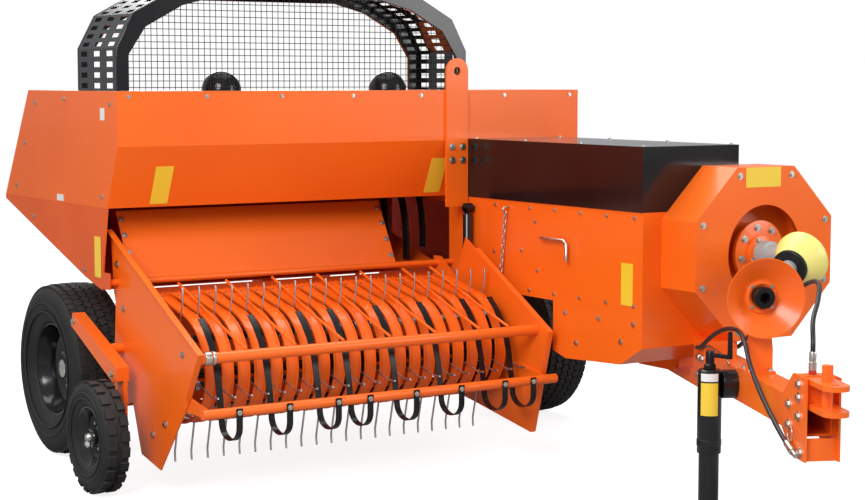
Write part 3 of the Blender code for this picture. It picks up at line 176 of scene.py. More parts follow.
def noise(nodes, links, coordinates, scale, detail=4.0, stretch=None):
    if stretch is not None:
        mapping = nodes.new("ShaderNodeMapping")
        mapping.inputs["Scale"].default_value = stretch
        links.new(coordinates, mapping.inputs["Vector"])
        coordinates = mapping.outputs["Vector"]
    node = nodes.new("ShaderNodeTexNoise")
    node.inputs["Scale"].default_value = scale
    node.inputs["Detail"].default_value = detail
    links.new(coordinates, node.inputs["Vector"])
    return node.outputs["Fac"]


def ramp(nodes, links, value, stops):
    node = nodes.new("ShaderNodeValToRGB")
    while len(node.color_ramp.elements) < len(stops):
        node.color_ramp.elements.new(0.5)
    for element, (place, colour) in zip(node.color_ramp.elements, stops):
        element.position = place
        element.color = (*colour, 1.0) if len(colour) == 3 else colour
    links.new(value, node.inputs["Fac"])
    return node.outputs["Color"]


def to_range(nodes, links, value, low, high):
    node = nodes.new("ShaderNodeMapRange")
    node.inputs["To Min"].default_value = low
    node.inputs["To Max"].default_value = high
    links.new(value, node.inputs["Value"])
    return node.outputs["Result"]


def finish_material(name, tones, rough, metallic=0.0, coat=0.0, grain=(60.0, 0.0004), cloud=2.2, dust=None,
                    stretch=None, gloss=0.5):
    """Principled finish: tones over a cloudy noise, varied roughness, fine grain and settled dust."""
    made = bpy.data.materials.new(name)
    made.use_nodes = True
    nodes, links = made.node_tree.nodes, made.node_tree.links
    shader = nodes["Principled BSDF"]
    shader.inputs["Metallic"].default_value = metallic
    shader.inputs["Coat Weight"].default_value = coat
    shader.inputs["Specular IOR Level"].default_value = gloss
    shader.inputs["Coat Roughness"].default_value = 0.06
    place = nodes.new("ShaderNodeTexCoord").outputs["Object"]
    clouds = noise(nodes, links, place, cloud, 5.0, stretch)
    colour = ramp(nodes, links, clouds, [(0.30, tones[0]), (0.72, tones[1])])
    fine = noise(nodes, links, place, grain[0], 3.0)
    if dust is not None:
        facing = nodes.new("ShaderNodeSeparateXYZ")
        links.new(nodes.new("ShaderNodeNewGeometry").outputs["Normal"], facing.inputs["Vector"])
        upward = math_node(nodes, links, "MULTIPLY",
                           math_node(nodes, links, "MAXIMUM", facing.outputs["Z"], 0.0), fine)
        mix = nodes.new("ShaderNodeMix")
        mix.data_type = "RGBA"
        links.new(math_node(nodes, links, "MULTIPLY", upward, dust[1]), mix.inputs["Factor"])
        links.new(colour, mix.inputs["A"])
        mix.inputs["B"].default_value = (*dust[0], 1.0)
        colour = mix.outputs["Result"]
    links.new(colour, shader.inputs["Base Color"])
    links.new(to_range(nodes, links, clouds, rough[0], rough[1]), shader.inputs["Roughness"])
    bump = nodes.new("ShaderNodeBump")
    bump.inputs["Strength"].default_value = 0.5
    bump.inputs["Distance"].default_value = grain[1]
    links.new(fine, bump.inputs["Height"])
    links.new(bump.outputs["Normal"], shader.inputs["Normal"])
    return made


ORANGE = finish_material("orange_powder_coat", ((0.87, 0.128, 0.007), (0.94, 0.152, 0.010)), (0.24, 0.34),
                         coat=0.12, gloss=0.4,
                         grain=(340.0, 0.00025), cloud=1.4, dust=((0.55, 0.20, 0.08), 0.12))
# The orange paint made darker and rougher for the trough inside the housing: the darkening is painted shade.
ORANGE_PAINTED_SHADE = finish_material("orange_paint_with_painted_shade", ((0.70, 0.088, 0.005), (0.82, 0.112, 0.008)),
                               (0.34, 0.46), coat=0.05, gloss=0.4,
                               grain=(260.0, 0.0004), cloud=2.4)
BLACK = finish_material("black_gloss_paint", ((0.004, 0.004, 0.005), (0.009, 0.009, 0.010)), (0.10, 0.20),
                        coat=0.15, gloss=0.4,
                        grain=(300.0, 0.0002), cloud=1.8, dust=((0.20, 0.19, 0.18), 0.10))
BLACK_SATIN = finish_material("black_satin_steel", ((0.005, 0.005, 0.006), (0.012, 0.012, 0.013)),
                              (0.20, 0.32),
                              gloss=0.3, grain=(220.0, 0.0005), cloud=5.0)
TYRE = finish_material("tyre_rubber", ((0.010, 0.010, 0.010), (0.024, 0.023, 0.022)), (0.62, 0.82), gloss=0.3,
                       grain=(180.0, 0.0012), cloud=7.0, dust=((0.14, 0.13, 0.12), 0.35))
HOSE = finish_material("hose_rubber", ((0.010, 0.010, 0.011), (0.022, 0.022, 0.024)), (0.36, 0.52),
                       grain=(420.0, 0.0006), cloud=9.0)
ZINC = finish_material("zinc_plate", ((0.50, 0.49, 0.45), (0.68, 0.67, 0.63)), (0.22, 0.38), metallic=1.0,
                       grain=(300.0, 0.0003), cloud=18.0)
GALVANISED = finish_material("galvanised_wire", ((0.46, 0.48, 0.50), (0.70, 0.72, 0.74)), (0.26, 0.40),
                             metallic=1.0,
                             grain=(240.0, 0.0004), cloud=22.0)
GREY = finish_material("grey_guard_tube", ((0.34, 0.34, 0.33), (0.44, 0.44, 0.43)), (0.40, 0.55),
                       grain=(200.0, 0.0005), cloud=6.0)
IRON = finish_material("cast_iron", ((0.045, 0.044, 0.042), (0.095, 0.092, 0.088)), (0.55, 0.75),
                       metallic=0.6,
                       grain=(120.0, 0.0015), cloud=12.0)
YELLOW = finish_material("yellow_guard_plastic", ((0.80, 0.72, 0.18), (0.88, 0.82, 0.26)), (0.30, 0.42),
                         grain=(260.0, 0.0004), cloud=4.0)
PLATE_YELLOW = finish_material("yellow_plate", ((0.84, 0.56, 0.03), (0.90, 0.62, 0.05)), (0.28, 0.36),
                               grain=(400.0, 0.0001), cloud=3.0)
PLATE_WHITE = finish_material("pale_plate", ((0.74, 0.74, 0.72), (0.82, 0.82, 0.80)), (0.30, 0.40),
                              grain=(400.0, 0.0001), cloud=3.0)
CAP_RED = finish_material("red_cap", ((0.42, 0.02, 0.015), (0.55, 0.03, 0.02)), (0.30, 0.42),
                          grain=(300.0, 0.0003), cloud=6.0)


# ---- Mesh helpers ------------------------------------------------------------------------------
def add_cylinder(shape, start, end, radius, sides=24, end_radius=None, caps=True):
    start, end = Vector(start), Vector(end)
    along = end - start
    turn = along.to_track_quat("Z", "Y").to_matrix().to_4x4()
    bmesh.ops.create_cone(shape, cap_ends=caps, segments=sides, radius1=radius,
                          radius2=radius if end_radius is None else end_radius, depth=along.length,
                          matrix=Matrix.Translation((start + end) / 2) @ turn)


def add_box(shape, centre, size, turn=None):
    placed = Matrix.Translation(centre) @ (turn or Matrix.Identity(4)) @ Matrix.Diagonal((*size, 1.0))
    bmesh.ops.create_cube(shape, size=1.0, matrix=placed)


def add_outline(shape, outline, plane, thickness):
    """Extrudes a closed outline both ways from a plane: plane maps (u, v, 0) to its place."""
    front = [shape.verts.new(plane @ Vector((u, v, thickness / 2))) for u, v in outline]
    back = [shape.verts.new(plane @ Vector((u, v, -thickness / 2))) for u, v in outline]
    shape.faces.new(front)
    shape.faces.new(list(reversed(back)))
    for index in range(len(outline)):
        after = (index + 1) % len(outline)
        shape.faces.new((front[after], front[index], back[index], back[after]))


def add_turned(shape, profile, place, steps=64):
    """A closed profile of (radius, height) turned about Z, then put in place."""
    rings = []
    for radius, height in profile:
        if radius < 1e-6:
            rings.append([shape.verts.new(place @ Vector((0.0, 0.0, height)))])
        else:
            rings.append([shape.verts.new(place @ Vector((radius * math.cos(2 * math.pi * step / steps),
                                                          radius * math.sin(2 * math.pi * step / steps),
                                                          height)))
                          for step in range(steps)])
    for ring, after in zip(rings, rings[1:] + rings[:1]):
        for step in range(steps):
            nearby = (step + 1) % steps
            corners = [ring[step % len(ring)], ring[nearby % len(ring)], after[nearby % len(after)],
                       after[step % len(after)]]
            unique = list(dict.fromkeys(corners))
            if len(unique) > 2 and not (len(ring) == 1 and len(after) == 1):
                shape.faces.new(unique)


def make_piece(name, shape, look, body, replaces=(), bevel=0.0, smooth=True, recalc=True):
    """A finished piece at the origin, in its material, riding on its body."""
    if recalc:
        bmesh.ops.recalc_face_normals(shape, faces=shape.faces)
    mesh = bpy.data.meshes.new(name)
    shape.to_mesh(mesh)
    shape.free()
    if smooth:
        mesh.shade_smooth()
        mesh.set_sharp_from_angle(angle=math.radians(38))
    piece = bpy.data.objects.new(name, mesh)
    bpy.context.scene.collection.objects.link(piece)
    mesh.materials.append(look)
    if bevel:
        edge = piece.modifiers.new("edge", "BEVEL")
        edge.width = bevel
        edge.segments = 2
        edge.limit_method = "ANGLE"
        edge.angle_limit = math.radians(50)
    return hand_over(piece, body, replaces)


def hand_over(piece, body, replaces=()):
    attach(piece, body)
    if replaces:
        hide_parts(*replaces)
    return piece


# ---- Geometry Nodes ----------------------------------------------------------------------------
def new_tree(name, sizes):
    """A geometry tree with a geometry input and named number inputs."""
    tree = bpy.data.node_groups.new(name, "GeometryNodeTree")
    tree.interface.new_socket("Geometry", in_out="INPUT", socket_type="NodeSocketGeometry")
    sockets = {}
    for label, kind, value in sizes:
        socket = tree.interface.new_socket(label, in_out="INPUT", socket_type=kind)
        socket.default_value = value
        sockets[label] = socket.identifier
    tree.interface.new_socket("Geometry", in_out="OUTPUT", socket_type="NodeSocketGeometry")
    return tree, sockets


def wires_tree():
    """Turns the edges of a mesh into round wires."""
    tree, sockets = new_tree("round_wires",
                             [("Wire Radius", "NodeSocketFloat", 0.003), ("Sides", "NodeSocketInt", 6)])
    nodes, links = tree.nodes, tree.links
    start, out = nodes.new("NodeGroupInput"), nodes.new("NodeGroupOutput")
    paths, ring = nodes.new("GeometryNodeMeshToCurve"), nodes.new("GeometryNodeCurvePrimitiveCircle")
    sweep, real = nodes.new("GeometryNodeCurveToMesh"), nodes.new("GeometryNodeRealizeInstances")
    colour = nodes.new("GeometryNodeSetMaterial")
    colour.name = "wire_material"
    sweep.inputs["Fill Caps"].default_value = True
    links.new(start.outputs["Geometry"], paths.inputs["Mesh"])
    links.new(start.outputs["Wire Radius"], ring.inputs["Radius"])
    links.new(start.outputs["Sides"], ring.inputs["Resolution"])
    links.new(paths.outputs["Curve"], sweep.inputs["Curve"])
    links.new(ring.outputs["Curve"], sweep.inputs["Profile Curve"])
    links.new(sweep.outputs["Mesh"], real.inputs["Geometry"])
    links.new(real.outputs["Geometry"], colour.inputs["Geometry"])
    links.new(colour.outputs["Geometry"], out.inputs["Geometry"])
    return tree, sockets


def bolts_tree():
    """Puts a washer and a hexagon head on every point, turned to the point's facing attribute."""
    tree, sockets = new_tree("hexagon_bolts", [("Head Radius", "NodeSocketFloat", 0.01),
                                               ("Head Height", "NodeSocketFloat", 0.007),
                                               ("Washer Radius", "NodeSocketFloat", 0.014)])
    nodes, links = tree.nodes, tree.links
    start, out = nodes.new("NodeGroupInput"), nodes.new("NodeGroupOutput")
    solids = []
    for sides, radius, height, lift in ((6, "Head Radius", "Head Height", 0.0018),
                                        (20, "Washer Radius", None, 0.0)):
        disc = nodes.new("GeometryNodeMeshCylinder")
        disc.inputs["Vertices"].default_value = sides
        disc.inputs["Depth"].default_value = 0.002
        links.new(start.outputs[radius], disc.inputs["Radius"])
        shift = nodes.new("GeometryNodeTransform")
        rise = nodes.new("ShaderNodeCombineXYZ")
        if height:
            links.new(start.outputs[height], disc.inputs["Depth"])
            half = math_node(nodes, links, "MULTIPLY", start.outputs[height], 0.5)
            links.new(math_node(nodes, links, "ADD", half, lift), rise.inputs["Z"])
        else:
            rise.inputs["Z"].default_value = 0.0009
        links.new(disc.outputs["Mesh"], shift.inputs["Geometry"])
        links.new(rise.outputs["Vector"], shift.inputs["Translation"])
        solids.append(shift.outputs["Geometry"])
    both = nodes.new("GeometryNodeJoinGeometry")
    for solid in solids:
        links.new(solid, both.inputs["Geometry"])
    facing = nodes.new("GeometryNodeInputNamedAttribute")
    facing.data_type = "FLOAT_VECTOR"
    facing.inputs["Name"].default_value = "facing"
    turn = nodes.new("FunctionNodeAlignRotationToVector")
    turn.axis = "Z"
    links.new(facing.outputs["Attribute"], turn.inputs["Vector"])
    spread, real = nodes.new("GeometryNodeInstanceOnPoints"), nodes.new("GeometryNodeRealizeInstances")
    colour = nodes.new("GeometryNodeSetMaterial")
    colour.name = "bolt_material"
    links.new(start.outputs["Geometry"], spread.inputs["Points"])
    links.new(both.outputs["Geometry"], spread.inputs["Instance"])
    links.new(turn.outputs["Rotation"], spread.inputs["Rotation"])
    links.new(spread.outputs["Instances"], real.inputs["Geometry"])
    links.new(real.outputs["Geometry"], colour.inputs["Geometry"])
    links.new(colour.outputs["Geometry"], out.inputs["Geometry"])
    return tree, sockets


def lugs_tree():
    """Tread blocks in staggered rows round a tyre whose axle is along X."""
    tree, sockets = new_tree("tread_blocks",
                             [("Blocks", "NodeSocketInt", 40), ("Radius", "NodeSocketFloat", 0.37),
                                              ("Length", "NodeSocketFloat", 0.03),
                                              ("Width", "NodeSocketFloat", 0.05),
                                              ("Height", "NodeSocketFloat", 0.02),
                                              ("Side Step", "NodeSocketFloat", 0.08),
                                              ("Skew", "NodeSocketFloat", 0.2),
                                              ("Start Angle", "NodeSocketFloat", 0.0)])
    nodes, links = tree.nodes, tree.links
    start, out = nodes.new("NodeGroupInput"), nodes.new("NodeGroupOutput")
    count = nodes.new("GeometryNodePoints")
    links.new(start.outputs["Blocks"], count.inputs["Count"])
    number = nodes.new("GeometryNodeInputIndex").outputs["Index"]
    share = math_node(nodes, links, "DIVIDE", number, start.outputs["Blocks"])
    angle = math_node(nodes, links, "ADD", math_node(nodes, links, "MULTIPLY", share, 2 * math.pi),
                      start.outputs["Start Angle"])
    place = nodes.new("ShaderNodeCombineXYZ")
    links.new(start.outputs["Side Step"], place.inputs["X"])
    for axis, wave in (("Y", "COSINE"), ("Z", "SINE")):
        reach = math_node(nodes, links, wave, angle, 0.0)
        links.new(math_node(nodes, links, "MULTIPLY", reach, start.outputs["Radius"]), place.inputs[axis])
    set_place = nodes.new("GeometryNodeSetPosition")
    links.new(count.outputs["Points"] if "Points" in count.outputs else count.outputs[0],
              set_place.inputs["Geometry"])
    links.new(place.outputs["Vector"], set_place.inputs["Position"])
    block, size = nodes.new("GeometryNodeMeshCube"), nodes.new("ShaderNodeCombineXYZ")
    links.new(start.outputs["Width"], size.inputs["X"])
    links.new(start.outputs["Height"], size.inputs["Y"])
    links.new(start.outputs["Length"], size.inputs["Z"])
    links.new(size.outputs["Vector"], block.inputs["Size"])
    lean = nodes.new("ShaderNodeCombineXYZ")
    links.new(start.outputs["Skew"], lean.inputs["Y"])
    tilt = nodes.new("GeometryNodeTransform")
    links.new(block.outputs["Mesh"], tilt.inputs["Geometry"])
    links.new(lean.outputs["Vector"], tilt.inputs["Rotation"])
    turn = nodes.new("ShaderNodeCombineXYZ")
    links.new(angle, turn.inputs["X"])
    spread, real = nodes.new("GeometryNodeInstanceOnPoints"), nodes.new("GeometryNodeRealizeInstances")
    links.new(set_place.outputs["Geometry"], spread.inputs["Points"])
    links.new(tilt.outputs["Geometry"], spread.inputs["Instance"])
    links.new(turn.outputs["Vector"], spread.inputs["Rotation"])
    colour = nodes.new("GeometryNodeSetMaterial")
    colour.name = "block_material"
    links.new(spread.outputs["Instances"], real.inputs["Geometry"])
    links.new(real.outputs["Geometry"], colour.inputs["Geometry"])
    links.new(colour.outputs["Geometry"], out.inputs["Geometry"])
    return tree, sockets


WIRES, BOLTS, LUGS = wires_tree(), bolts_tree(), lugs_tree()


def grow(name, source, kit, look, **values):
    """Runs a tree on the source mesh and returns the plain mesh that it makes."""
    tree, sockets = kit
    for node in tree.nodes:
        if node.bl_idname == "GeometryNodeSetMaterial":
            node.inputs["Material"].default_value = look
    carrier = bpy.data.objects.new(name, source)
    bpy.context.scene.collection.objects.link(carrier)
    modifier = carrier.modifiers.new(name, "NODES")
    modifier.node_group = tree
    for label, value in values.items():
        modifier[sockets[label.replace("_", " ")]] = value
    carrier.update_tag()
    bpy.context.view_layer.update()
    graph = bpy.context.evaluated_depsgraph_get()
    mesh = bpy.data.meshes.new_from_object(carrier.evaluated_get(graph))
    carrier.modifiers.clear()
    carrier.data = mesh
    if not mesh.materials:
        mesh.materials.append(look)
    return carrier


def wires(name, paths, radius, look, body, replaces=(), sides=6, closed=False):
    """Round wires along the given point lists, as one piece."""
    points, edges = [], []
    for path in paths:
        first = len(points)
        points += [tuple(point) for point in path]
        edges += [(first + index, first + index + 1) for index in range(len(path) - 1)]
        if closed:
            edges.append((first + len(path) - 1, first))
    mesh = bpy.data.meshes.new(name)
    mesh.from_pydata(points, edges, [])
    piece = grow(name, mesh, WIRES, look, Wire_Radius=radius, Sides=sides)
    piece.data.shade_smooth()
    piece.data.set_sharp_from_angle(angle=math.radians(60))
    return hand_over(piece, body, replaces)


def bolts(name, spots, body, head=0.010, height=0.007, washer=0.0145, look=None):
    """Bolt heads at (point, facing) pairs, as one piece."""
    mesh = bpy.data.meshes.new(name)
    mesh.from_pydata([tuple(point) for point, facing in spots], [], [])
    facings = mesh.attributes.new("facing", "FLOAT_VECTOR", "POINT")
    for index, (point, facing) in enumerate(spots):
        facings.data[index].vector = facing
    piece = grow(name, mesh, BOLTS, look or ZINC, Head_Radius=head, Head_Height=height, Washer_Radius=washer)
    return hand_over(piece, body)


def ring_spots(centre, axis, radius, count, start=0.0):
    """Points on a circle about an axis, all facing along it."""
    centre, axis = Vector(centre), Vector(axis).normalized()
    turn = axis.to_track_quat("Z", "Y")
    spots = []
    for index in range(count):
        angle = start + 2 * math.pi * index / count
        spots.append((centre + turn @ Vector((radius * math.cos(angle), radius * math.sin(angle), 0.0)),
                      axis))
    return spots


def along_axis(origin, direction):
    """A matrix that puts a turned piece's Z along a direction, at an origin."""
    return Matrix.Translation(origin) @ Vector(direction).to_track_quat("Z", "Y").to_matrix().to_4x4()


# ---- Plain sheet-metal pieces ------------------------------------------------------------------
NODE_LOOKS = {
    "bale_chamber": ORANGE, "crank_box": ORANGE, "flywheel_guard": ORANGE, "drawbar_beam": ORANGE,
    "drawbar_saddle": ORANGE, "hitch_head": ORANGE, "hitch_clevis": ORANGE, "funnel_stand": ORANGE,
    # The feeder trough takes the darker orange, which is painted shade.
    "feeder_housing": ORANGE, "feeder_trough": ORANGE_PAINTED_SHADE, "feeder_apron": ORANGE, "lifting_ear": ORANGE,
    "axle_beam": ORANGE, "left_axle": ORANGE, "right_axle": ORANGE, "left_chute_hinge": ORANGE,
    "right_chute_hinge": ORANGE, "needle_yoke": ORANGE, "bale_chute": ORANGE, "rear_lid": ORANGE,
    "pickup_left_plate": ORANGE, "pickup_right_plate": ORANGE, "gauge_arm": ORANGE, "drive_hood": BLACK,
    "packer_fork": BLACK_SATIN, "tension_frame": BLACK_SATIN, "gearbox": IRON, "pickup_pivot": ORANGE,
}


def dress_nodes():
    for name, look in NODE_LOOKS.items():
        mesh = NODES[name].data
        if mesh.materials:
            mesh.materials[0] = look
        else:
            mesh.materials.append(look)


# ---- Wheels ------------------------------------------------------------------------------------
def tyre_profile(radius, rim, half):
    """Carcass section: beads, bulging side walls, round shoulders and a slightly crowned tread floor."""
    wall = radius - rim
    side = [(rim, half * 0.70)]
    for step in range(1, 15):
        angle = math.pi * step / 20
        share = step / 14
        side.append((rim + wall * 0.62 * share, half * (0.74 + 0.26 * math.sin(angle * 10 / 14) ** 0.7)))
    for step in range(1, 9):
        angle = math.radians(90 * step / 8)
        side.append((rim + wall * (0.62 + 0.375 * math.sin(angle)), half * (0.66 + 0.34 * math.cos(angle))))
    return side + [(radius, 0.0)] + [(r, -h) for r, h in reversed(side)]


def rim_profile(rim, half, depth, bore):
    """Rolled edge, well and dished centre, with the bore that turns on the spindle."""
    sheet = 0.006
    return [(rim - 0.0005, half), (rim - 0.0005, -half), (rim - sheet, -half), (rim - 0.030, -half * 0.45),
            (rim - 0.036, depth - 0.014), (bore * 2.6, depth - 0.030), (bore * 2.2, -half * 0.6),
            (bore * 1.1, -half * 0.6),
            (bore * 1.1, depth + 0.020), (bore * 2.1, depth + 0.020), (bore * 2.3, depth + 0.004),
            (rim * 0.62, depth - 0.022),
            (rim * 0.72, depth - 0.006), (rim * 0.80, depth + 0.002), (rim - 0.034, depth - 0.004),
            (rim - 0.028, half * 0.45), (rim - 0.012, half * 0.80), (rim - sheet, half)]


def make_wheel(name, radius, rim, width, bore, outward, depth, tread, studs, stud_circle):
    body = name
    centre = joint_at(f"{name}_spin")
    place = Matrix.Translation(centre) @ Matrix.Rotation(math.radians(90 * outward), 4, "Y")
    half = width / 2
    lug, blocks, share_long, rows = tread
    carcass = bmesh.new()
    add_turned(carcass, tyre_profile(radius - lug, rim, half * 0.985), place, 96)
    make_piece(f"{name}_carcass", carcass, TYRE, body, (f"{name}_tyre",))
    pitch = 2 * math.pi * radius / blocks
    for row, (step, share, skew, drop) in enumerate(rows):
        seed = bpy.data.meshes.new("tread_seed")
        seed.from_pydata([(0.0, 0.0, 0.0)], [], [])
        lugs = grow(f"{name}_tread_{row}", seed, LUGS, TYRE, Blocks=blocks,
                    Radius=radius - lug / 2 - 0.0025 - drop,
                    Length=pitch * share_long, Width=half * share, Height=lug + 0.004, Side_Step=half * step,
                    Skew=skew,
                    Start_Angle=(row % 2) * math.pi / blocks)
        lugs.data.transform(Matrix.Translation(centre))
        hand_over(lugs, body)
    ribs = bmesh.new()
    for side in (-1, 1):
        for ring in range(2):
            reach, out = rim + (radius - rim) * (0.30 + 0.22 * ring), half * (0.985 + 0.004 * ring)
            add_turned(ribs, [(reach + 0.004, side * out), (reach, side * (out + 0.003)),
                              (reach - 0.004, side * out),
                              (reach, side * (out - 0.006))], place, 96)
    make_piece(f"{name}_side_ribs", ribs, TYRE, body)
    disc = bmesh.new()
    add_turned(disc, rim_profile(rim, width * 0.36, depth, bore), place, 96)
    make_piece(f"{name}_dish", disc, BLACK, body, (f"{name}_rim",))
    axis = Vector((outward, 0.0, 0.0))
    face = centre + axis * (depth - 0.010)
    bolts(f"{name}_studs", ring_spots(face, axis, stud_circle, studs, 0.3), body, stud_circle * 0.13, 0.016,
          stud_circle * 0.17)
    cap = bmesh.new()
    add_turned(cap, [(0.0, depth + 0.045), (bore * 0.9, depth + 0.045), (bore * 1.35, depth + 0.036),
                     (bore * 1.42, depth + 0.0205),
                     (0.0, depth + 0.0205)], place, 40)
    make_piece(f"{name}_hub_cap", cap, ZINC, body)


def make_wheels():
    road = (0.010, 60, 0.84, ((-0.72, 0.20, 0.0, 0.008), (-0.44, 0.27, 0.42, 0.002),
                              (-0.145, 0.25, -0.42, 0.0),
                              (0.145, 0.25, 0.42, 0.0), (0.44, 0.27, -0.42, 0.002), (0.72, 0.20, 0.0, 0.008)))
    block = (0.012, 22, 0.60, ((-0.50, 0.62, 0.0, 0.0015), (0.50, 0.62, 0.0, 0.0015)))
    make_wheel("left_wheel", 0.38, 0.205, 0.264, 0.030, 1, 0.02, road, 6, 0.085)
    make_wheel("right_wheel", 0.38, 0.205, 0.264, 0.030, -1, 0.02, road, 6, 0.085)
    make_wheel("gauge_wheel", 0.23, 0.125, 0.11, 0.014, -1, 0.005, block, 5, 0.055)


# ---- Pickup ------------------------------------------------------------------------------------
REEL = (-1.03, 0.479)
TINE_FIRST, TINE_PITCH, TINE_COUNT = -1.81, 0.0725, 21
WIND_TUBE, STRAP_TUBE = (-1.41, 0.60), (-1.475, 0.395)
PLATE_RIGHT, PLATE_LEFT = -1.90, -0.32


def band_x(index):
    return TINE_FIRST + (index + 0.5) * TINE_PITCH


def ellipse(centre, across, up, start, end, steps):
    angles = [math.radians(start + (end - start) * step / steps) for step in range(steps + 1)]
    return [(centre[0] + across * math.cos(angle), centre[1] + up * math.sin(angle)) for angle in angles]


def add_sweep(shape, path, middle, section):
    """Carries a closed (across, out) section along a path of (y, z) points at x = middle."""
    rings = []
    for index, point in enumerate(path):
        before, after = Vector(path[max(index - 1, 0)]), Vector(path[min(index + 1, len(path) - 1)])
        along = (after - before).normalized()
        out = Vector((along.y, -along.x))
        rings.append([shape.verts.new(at(middle + across, point[0] + out.x * rise, point[1] + out.y * rise))
                      for across, rise in section])
    for ring, after in zip(rings, rings[1:]):
        for step in range(len(section)):
            nearby = (step + 1) % len(section)
            shape.faces.new((ring[step], ring[nearby], after[nearby], after[step]))
    shape.faces.new(rings[0])
    shape.faces.new(list(reversed(rings[-1])))


def band_path():
    top = ellipse((-0.995, 0.50), 0.25, 0.225, 90, 180, 16)
    low = ellipse((-0.995, 0.50), 0.25, 0.21, 180, 270, 14)[1:]
    return [(-0.745, 0.775), (-0.85, 0.762), (-0.925, 0.744)] + top[1:] + low + [(-0.80, 0.297),
                                                                                 (-0.61, 0.302)]


def make_bands():
    """Stripper bands with turned-down edges, their end arms, rear beam and lip bar."""
    half, sheet, turned = 0.0255, 0.003, 0.011
    section = [(-half, -turned), (-half, -0.002), (-half + 0.004, 0.0012), (half - 0.004, 0.0012),
               (half, -0.002),
               (half, -turned), (half - sheet, -turned), (half - sheet, -0.004), (-half + sheet, -0.004),
               (-half + sheet, -turned)]
    path = list(reversed(band_path()))
    shape = bmesh.new()
    for index in range(TINE_COUNT - 1):
        add_sweep(shape, path, band_x(index), section)
    right, left = PLATE_RIGHT + 0.0033, PLATE_LEFT - 0.0033
    arm = [(-0.67, 0.855), (-0.775, 0.785), (-1.08, 0.509), (-1.08, 0.429), (-0.60, 0.295), (-0.565, 0.33),
           (-0.61, 0.815), (-0.61, 0.855)]
    for x in (right + 0.003, left - 0.003):
        plane = Matrix.Translation(at(x, 0.0, 0.0)) @ Matrix(((0, 0, 1, 0), (1, 0, 0, 0), (0, 1, 0, 0),
                                                              (0, 0, 0, 1)))
        add_outline(shape, arm, plane, 0.006)
    span = left - right - 0.006
    middle = (left + right) / 2
    add_box(shape, at(middle, -0.60, 0.33), (span, 0.06, 0.06))
    add_box(shape, at(middle, -0.745, 0.765), (span, 0.03, 0.03))
    pan = [(-0.738, 0.752), (-0.652, 0.600), (-0.650, 0.362)]
    add_sweep(shape, pan, middle, [(-span / 2, -0.002), (-span / 2, 0.0), (span / 2, 0.0),
                                   (span / 2, -0.002)])
    make_piece("stripper_bands", shape, ORANGE, "pickup", ("pickup_frame",))
    # The skirt at the trough takes the darker orange, which is painted shade.
    skirt = bmesh.new()
    add_box(skirt, at(middle, -0.5985, 0.743), (span - 0.02, 0.003, 0.088))
    make_piece("trough_skirt", skirt, ORANGE_PAINTED_SHADE, "chassis")
    spots = []
    for index in range(TINE_COUNT - 1):
        spots.append((at(band_x(index), -0.80, 0.7705), Vector((0.0, -0.12, 0.99))))
    bolts("band_screws", spots, "pickup", 0.006, 0.004, 0.009)


def tine_path(x, out, back, bar):
    """A finger with a hooked tip, then a coil wound round its bar."""
    tip = Vector(REEL) + out * 0.361 - back * 0.008
    hook = Vector(REEL) + out * 0.322 + back * 0.002
    points = [(x, *tip), (x, *((tip + hook) / 2 + out * 0.003)), (x, *hook)]
    turns, radius, steps = 2.5, 0.0175, 9
    total = int(turns * steps)
    for step in range(total + 1):
        angle = 2 * math.pi * step / steps
        around = -back * math.cos(angle) * radius + out * math.sin(angle) * radius
        points.append((x + 0.0064 * step / steps, *(bar + around)))
    return [at(*point) for point in points]


def make_reel():
    """Shaft, end discs, tine bars and sprung double-wound tines."""
    last = TINE_FIRST + (TINE_COUNT - 1) * TINE_PITCH
    drum, fingers = bmesh.new(), []
    add_cylinder(drum, at(PLATE_RIGHT + 0.011, *REEL), at(PLATE_LEFT - 0.011, *REEL), 0.02, 32)
    for x in (TINE_FIRST - 0.02, (TINE_FIRST + last) / 2 + TINE_PITCH / 2, last + 0.02):
        add_cylinder(drum, at(x - 0.003, *REEL), at(x + 0.003, *REEL), 0.166, 64)
    for bar in range(4):
        angle = math.radians(8 + 90 * bar)
        out = Vector((math.cos(angle), math.sin(angle)))
        back = Vector((-out.y, out.x))
        centre = Vector(REEL) + out * 0.148
        add_cylinder(drum, at(TINE_FIRST - 0.022, *centre), at(last + 0.022, *centre), 0.0135, 20)
        fingers += [tine_path(TINE_FIRST + index * TINE_PITCH, out, back,
                              centre) for index in range(TINE_COUNT)]
    make_piece("reel_drum", drum, BLACK_SATIN, "reel", ("pickup_reel",))
    wires("reel_tines", fingers, 0.0043, GALVANISED, "reel", sides=7)


def make_windguard():
    tube = bmesh.new()
    add_cylinder(tube, at(PLATE_RIGHT + 0.0045, *WIND_TUBE), at(PLATE_LEFT - 0.0045, *WIND_TUBE), 0.0222, 40)
    make_piece("windguard_tube", tube, ORANGE, "windguard", ("windguard",))
    rods = []
    for index in (1, 4, 7, 10, 13, 16, 18):
        x = band_x(index)
        rods.append([at(x, WIND_TUBE[0] - 0.004, WIND_TUBE[1] + 0.024), at(x, -1.20, 0.690),
                     at(x, -1.00, 0.757),
                     at(x, -0.80, 0.823)])
    wires("windguard_rods", rods, 0.006, ORANGE, "windguard", sides=10)
    collar = bmesh.new()
    for x, wide in ((PLATE_RIGHT + 0.02, 0.026), (PLATE_RIGHT + 0.052, 0.012)):
        add_cylinder(collar, at(x, *WIND_TUBE), at(x + wide, *WIND_TUBE), 0.0275, 40)
    make_piece("windguard_collar", collar, ZINC, "windguard", bevel=0.0015)


